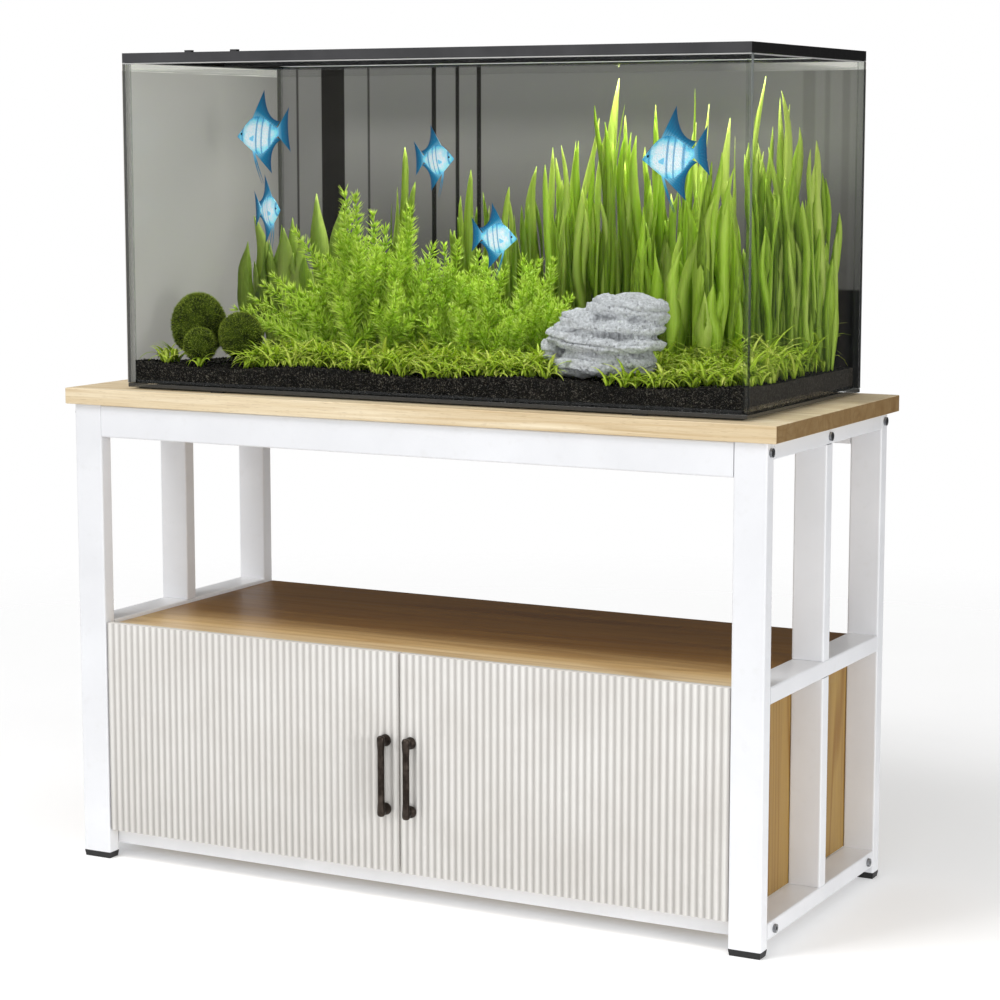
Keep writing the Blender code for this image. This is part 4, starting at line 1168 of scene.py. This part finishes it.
def with_shoots(places, rng, count, spread):
    """The places, given in millimetres, and count side shoots round each that end lower."""
    places = [tuple(float(v) for v in place) for place in np.array(places) / 1000]
    grown = list(places)
    for x, y, tip_x, tip_y, tip_z in places:
        for _ in range(count):
            fall = rng.uniform(0.03, 0.45) * (tip_z - gravel_high.z)
            grown.append((
                x + rng.uniform(-0.3, 0.3) * spread, y + rng.uniform(-0.3, 0.3) * spread,
                tip_x + rng.uniform(-1, 1) * spread, tip_y + rng.uniform(-1, 0.6) * spread, tip_z - fall,
            ))
    return grown


# Fronds, in millimetres: x, y, tip x, tip y, tip z.
FOXTAILS = (
    (-215, 30, -245, 30, 1058), (-200, 0, -225, -5, 1020), (-235, -10, -345, -20, 925),
    (-215, -30, -300, -45, 885), (-190, -20, -190, -20, 985), (-170, 20, -165, 20, 1000),
    (-150, 40, -130, 40, 1030), (-145, 0, -120, -10, 985), (-120, 30, -85, 30, 975),
    (-230, 60, -275, 60, 985), (-180, -45, -185, -50, 900), (-130, -30, -110, -40, 915),
    (-245, 10, -275, 0, 905), (-90, 10, -60, 0, 930),
)
FINE_STEMS = (
    (-75, 50, -75, 50, 975), (-50, 30, -40, 30, 985), (-30, 60, -20, 60, 965), (-20, 0, -15, -10, 925),
    (10, 40, 5, 40, 955), (35, 10, 30, 0, 935), (50, 60, 60, 60, 960), (70, 30, 85, 30, 950),
    (95, 50, 115, 50, 955), (110, 10, 125, 0, 925), (0, -30, -10, -40, 885), (45, -30, 50, -40, 890),
    (85, -25, 95, -35, 895), (-50, -20, -55, -30, 895), (130, 30, 150, 30, 905),
)
# Ribbons and swords, in millimetres: x, y, tip z.
RIBBONS_LEFT = (
    (-205, 115, 1130), (-196, 125, 1075), (-182, 120, 1050), (-214, 130, 1040), (-100, 120, 1055),
    (-88, 130, 1020), (-60, 115, 1095), (-45, 125, 1060), (-70, 135, 1030), (-20, 120, 1000), (8, 120, 1070),
    (20, 130, 1030), (45, 115, 1100), (60, 125, 1060), (68, 135, 1040),
)
RIBBONS_MIDDLE = (
    (90, 120, 1130), (103, 115, 1175), (117, 125, 1140), (128, 130, 1080), (146, 130, 1140),
    (160, 120, 1100), (172, 115, 1236), (184, 125, 1195), (196, 130, 1155), (206, 120, 1090),
    (222, 130, 1130), (238, 115, 1196), (250, 125, 1120), (270, 130, 1060), (290, 125, 1218), (304, 130, 1168),
)
RIBBONS_RIGHT = (
    (385, 175, 1175), (402, 170, 1236), (412, 180, 1192), (432, 170, 1195), (458, 165, 1214),
    (470, 175, 1160), (492, 170, 1104), (508, 165, 1128), (420, 150, 1120), (445, 155, 1090),
    (480, 160, 1060), (500, 150, 1010), (395, 160, 1080), (515, 175, 1000),
)
SWORDS_RIGHT = (
    (262, 55, 975), (284, 50, 1044), (297, 60, 1030), (318, 45, 985), (345, 55, 1085), (360, 50, 1067),
    (380, 50, 1010), (330, 60, 1040), (402, 45, 1123), (370, 35, 960), (395, 65, 990),
)
SWORDS_LEFT = (
    (-450, 80, 986), (-430, 85, 1019), (-410, 75, 975), (-392, 85, 1004), (-372, 80, 1000), (-358, 75, 1017),
    (-344, 85, 960), (-312, 90, 1056), (-300, 85, 990),
)
# Shares of the full width from root to tip.
GRASS_LEAF = (0.55, 0.85, 1.0, 0.95, 0.75, 0.45, 0.04)
RIBBON_LEAF = (0.4, 0.5, 0.62, 0.75, 0.86, 0.94, 1.0, 1.0, 1.0, 0.98, 0.95, 0.91, 0.86, 0.8, 0.7, 0.48, 0.06)
SWORD_LEAF = (0.18, 0.24, 0.34, 0.5, 0.7, 0.86, 0.96, 1.0, 1.0, 0.95, 0.86, 0.72, 0.52, 0.28, 0.04)

gravel(gravel_stone())
rock()
moss_balls()

grass = leaf("leaf_grass", srgb(104, 138, 20), srgb(216, 246, 72), srgb(248, 255, 140), 0.48)
bright = leaf("leaf_bright", srgb(56, 88, 14), srgb(192, 226, 76), srgb(226, 242, 132))
middle = leaf("leaf_middle", srgb(62, 88, 22), srgb(146, 178, 60), srgb(202, 222, 108))
feather = leaf("leaf_feather", srgb(156, 196, 40), srgb(222, 250, 88), srgb(242, 255, 150), 0.5)
pale = leaf("leaf_pale", srgb(104, 138, 46), srgb(176, 204, 88), srgb(206, 226, 122))
rng = np.random.default_rng(23)
carpet(rng, GRASS_LEAF, grass)
for name, places, *settings in (
    # material, width, outline, sway, leaves per place, spread, lean
    ("ribbon_leaves_left", RIBBONS_LEFT, middle, 0.0155, RIBBON_LEAF, 0.03, 3, 0.010, 0.14),
    ("ribbon_leaves_middle", RIBBONS_MIDDLE, bright, 0.0150, RIBBON_LEAF, 0.03, 6, 0.020, 0.12),
    ("ribbon_leaves_right", RIBBONS_RIGHT, bright, 0.0145, RIBBON_LEAF, 0.03, 6, 0.020, 0.12),
    ("sword_leaves_right", SWORDS_RIGHT, bright, 0.024, SWORD_LEAF, 0.04, 4, 0.022, 0.3),
    ("sword_leaves_left", SWORDS_LEFT, pale, 0.031, SWORD_LEAF, 0.02, 3, 0.014, 0.22),
):
    ribbons(name, places, rng, *settings)
fronds = needles(with_shoots(FOXTAILS, rng, 5, 0.060), rng, 0.0205, 0.0023, 0.0095)
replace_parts(leafy("foxtail_fronds", fronds, feather), "plants")
stems = needles(with_shoots(FINE_STEMS, rng, 5, 0.045), rng, 0.0165, 0.0020, 0.0085)
leafy("fine_leaved_stems", stems, feather)

# Fish --------------------------------------------------------------------------------------

# The body's sections from nose to tail root: place along, middle height, half height, half width.
FISH_SECTIONS = (
    (0.000, 0.000, 0.008, 0.006), (0.030, 0.004, 0.040, 0.020), (0.080, 0.010, 0.085, 0.036),
    (0.160, 0.018, 0.165, 0.054), (0.260, 0.020, 0.250, 0.068), (0.370, 0.016, 0.315, 0.072),
    (0.480, 0.014, 0.305, 0.064), (0.580, 0.018, 0.240, 0.046), (0.670, 0.030, 0.155, 0.030),
    (0.730, 0.042, 0.095, 0.020), (0.780, 0.050, 0.072, 0.014), (0.800, 0.052, 0.066, 0.009),
)
MIDDLE_FINS = (
    # root line, outer edge, thickness: back, belly and tail fin
    (((0.28, 0.25), (0.52, 0.35), (0.73, 0.10)), ((0.56, 0.74), (0.555, 0.25), (0.84, 0.22)), 0.007),
    (((0.32, -0.27), (0.52, -0.33), (0.73, -0.03)), ((0.64, -0.62), (0.58, -0.20), (0.84, -0.08)), 0.007),
    (((0.785, 0.115), (0.785, -0.010)), ((1.02, 0.44), (0.95, 0.10), (1.02, -0.28)), 0.006),
)
SIDE_FIN = (((0.27, -0.03), (0.27, -0.06)), ((0.36, 0.01), (0.37, -0.05), (0.34, -0.09)), 0.003)
EYE, EYE_SIZE = (0.105, 0.034, 0.040), (0.024, 0.012, 0.024)


def bend(points, t):
    """A point on the curve through three or more control points, by repeated mixing."""
    points = [np.array(p, float) for p in points]
    while len(points) > 1:
        points = [a * (1 - t) + b * t for a, b in zip(points, points[1:])]
    return points[0]


def fin(root, edge, thick, splay=0.0, rays=22, steps=8):
    """A closed thin fin from a root line to an outer edge, both given by control points, with
    one ridge for each ray. Returns points, faces, tone and along."""
    points = []
    for face in (-1, 1):
        for i in range(rays + 1):
            start, stop = bend(root, i / rays), bend(edge, i / rays)
            for j in range(steps + 1):
                v = j / steps
                x, z = start * (1 - v) + stop * v
                ridge = 0.0025 * math.cos(math.pi * i) * (1 - v)
                points.append((x, face * (thick * (1 - v) ** 0.7 + 0.0012) + ridge + splay * v * v, z))
    tone = np.tile(np.repeat(np.arange(rays + 1) / rays, steps + 1), 2)
    along = np.tile(np.arange(steps + 1) / steps, (rays + 1) * 2)
    return np.array(points), slab_faces(rays + 1, steps + 1), tone, along


def feeler(path, radius, rings=13, sides=6):
    """A long thin fin ray."""
    points = []
    for i in range(rings):
        t = i / (rings - 1)
        x, y, z = bend(path, t)
        r = radius * (1 - 0.85 * t)
        for a in np.arange(sides) * math.pi / 3:
            points.append((x + r * math.cos(a), y + 0.5 * r * math.sin(a), z))
    along = np.repeat(np.arange(rings) / (rings - 1), sides)
    return np.array(points), rings_faces(rings, sides), np.full(len(points), 0.5), along


def plain(points, faces):
    """A form that has no tone of its own and is all root."""
    return points, faces, np.zeros(len(points)), np.zeros(len(points))


def fish_mesh(materials, ring=20):
    """An angelfish one unit long, nose at the origin and tail towards +X."""
    body = []
    for x, middle, tall, wide in FISH_SECTIONS:
        for i in range(ring):
            a = 2 * math.pi * i / ring
            bulge = math.copysign(abs(math.sin(a)) ** 1.3, math.sin(a))
            body.append((x, wide * bulge, middle + tall * math.cos(a)))
    skins = [plain(np.array(body), rings_faces(len(FISH_SECTIONS), ring))]
    fins = [fin(*shape) for shape in MIDDLE_FINS]
    for way in (-1, 1):
        fins.append(
            feeler([(0.30, 0.010 * way, -0.24), (0.34, 0.03 * way, -0.48), (0.46, 0.03 * way, -0.78)], 0.016)
        )
        points, faces = fin(*SIDE_FIN, 0.012, 10, 5)[:2]
        points[:, 1] = way * (points[:, 1] + 0.066)
        fins.append(plain(points, faces))
    eyes = [plain(*ball((EYE[0], way * EYE[1], EYE[2]), EYE_SIZE, 2)) for way in (-1, 1)]
    points, faces, tone, along = merged(skins + fins + eyes)
    mesh = bpy.data.meshes.new("angelfish")
    mesh.from_pydata(points.tolist(), [], faces)
    give(mesh, {"tone": tone, "along": along})
    index = []
    for number, (material, groups) in enumerate(zip(materials, (skins, fins, eyes))):
        mesh.materials.append(material)
        index += [number] * sum(len(group[1]) for group in groups)
    mesh.polygons.foreach_set("material_index", index)
    mesh.shade_smooth()
    mesh.set_sharp_from_angle(angle=math.radians(60))
    return mesh


FISH = (
    # nose x, y and z, length, heading of the tail in degrees from +X, tilt in degrees
    ((-0.425, 0.000, 1.146), 0.097, 0.0, 2.0),
    ((-0.340, -0.010, 1.030), 0.080, 152.0, -4.0),
    ((-0.030, 0.000, 1.112), 0.074, 172.0, -4.0),
    ((0.084, -0.010, 0.992), 0.074, 184.0, 0.0),
    ((0.292, -0.010, 1.112), 0.102, 4.0, 3.0),
)
fish_eye = moulded("fish_eye", srgb(8, 12, 20), srgb(30, 44, 60), 0.16, 20.0, 0.001)
shared_fish = fish_mesh((fish_skin(), fish_fin(), fish_eye))
for number, (nose, length, heading, tilt) in enumerate(FISH, 1):
    swimmer = linked(f"angelfish_{number}", shared_fish)
    turn = Matrix.Rotation(math.radians(heading), 4, "Z") @ Matrix.Rotation(math.radians(-tilt), 4, "Y")
    swimmer.matrix_world = Matrix.Translation(nose) @ turn @ Matrix.Scale(length, 4)
    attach(swimmer, "root")

# Floor, lights and camera ------------------------------------------------------------------

FLOOR_RADIUS = 3.4
LENS, SENSOR = 93.88, 36.0  # millimetres
CAMERA_PLACE = (1.917922, -3.525583, 1.138256)
CAMERA_DIP, CAMERA_HEADING = 0.136583, 0.487256  # radians


def floor():
    """A pale floor that fades into the pale surroundings."""
    s = Shade("pale_floor")
    colour = s.mottle(s.noise(2.0, 3.0), srgb(247, 247, 247), srgb(250, 250, 250))
    roughness = s.swing(s.noise(5.0), 0.85, 0.95)
    matt = s.principled(colour, roughness, emission_color=colour, emission_strength=0.16)
    distance = s.add("VectorMath", {0: s.place}, operation="LENGTH").outputs["Value"]
    s.finish(s.blend(s.spread(distance, 0.9, 3.2), matt, s.shader("BsdfTransparent")))
    mesh = bmesh.new()
    bmesh.ops.create_circle(mesh, cap_ends=True, segments=96, radius=FLOOR_RADIUS)
    data = bpy.data.meshes.new("floor")
    mesh.to_mesh(data)
    mesh.free()
    data.materials.append(s.material)
    linked("floor", data)


def surroundings():
    """White to look at, and a soft light that is strongest from the front and above."""
    s = Shade("studio", world=True)
    bpy.context.scene.world = s.material
    toward = s.add("VectorMath", {0: s.way, 1: (0.0, -0.70, 0.71)}, operation="DOT_PRODUCT")
    level = s.spread(toward.outputs["Value"], -0.35, 0.95, 0.08, 0.98)
    white = (1.0, 1.0, 1.0, 1.0)
    soft, plain_white = (s.shader("Background", Color=white, Strength=strength) for strength in (level, 1.0))
    s.finish(s.blend(s.add("LightPath", {}).outputs["Is Camera Ray"], soft, plain_white))


def area_light(name, place, target, size, power, colour=(1.0, 1.0, 1.0), spread=180.0):
    data = bpy.data.lights.new(name, "AREA")
    data.shape, data.size, data.size_y = "RECTANGLE", size[0], size[1]
    data.energy, data.color, data.spread = power, colour, math.radians(spread)
    light = linked(name, data)
    light.location = place
    light.rotation_euler = (Vector(target) - Vector(place)).to_track_quat("-Z", "Y").to_euler()
    light.visible_camera = False


def lamp_light():
    """What the lamp under the lid gives, a little towards the front."""
    low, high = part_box("lamp")
    middle = (low + high) / 2
    place, target = (middle.x, middle.y, low.z - 0.0015), (middle.x, middle.y - 0.05, 0.8)
    size = (high.x - low.x - 0.10, high.y - low.y - 0.01)
    area_light("lamp_light", place, target, size, 2.9, (1.0, 0.99, 0.96), 108.0)


floor()
surroundings()
area_light("key", (-1.2, -2.2, 4.6), (0.0, 0.0, 0.6), (1.5, 1.5), 100.0)
area_light("fill", (3.4, -1.2, 0.9), (0.5, 0.0, 0.35), (1.0, 1.0), 38.0)
lamp_light()

camera_data = bpy.data.cameras.new("camera")
camera_data.lens, camera_data.sensor_width = LENS, SENSOR
camera = linked("camera", camera_data)
camera.location = CAMERA_PLACE
camera.rotation_euler = (math.pi / 2 - CAMERA_DIP, 0.0, CAMERA_HEADING)
bpy.context.scene.camera = camera
bpy.context.scene.view_settings.view_transform = "Standard"
bpy.context.scene.cycles.transparent_max_bounces = 24
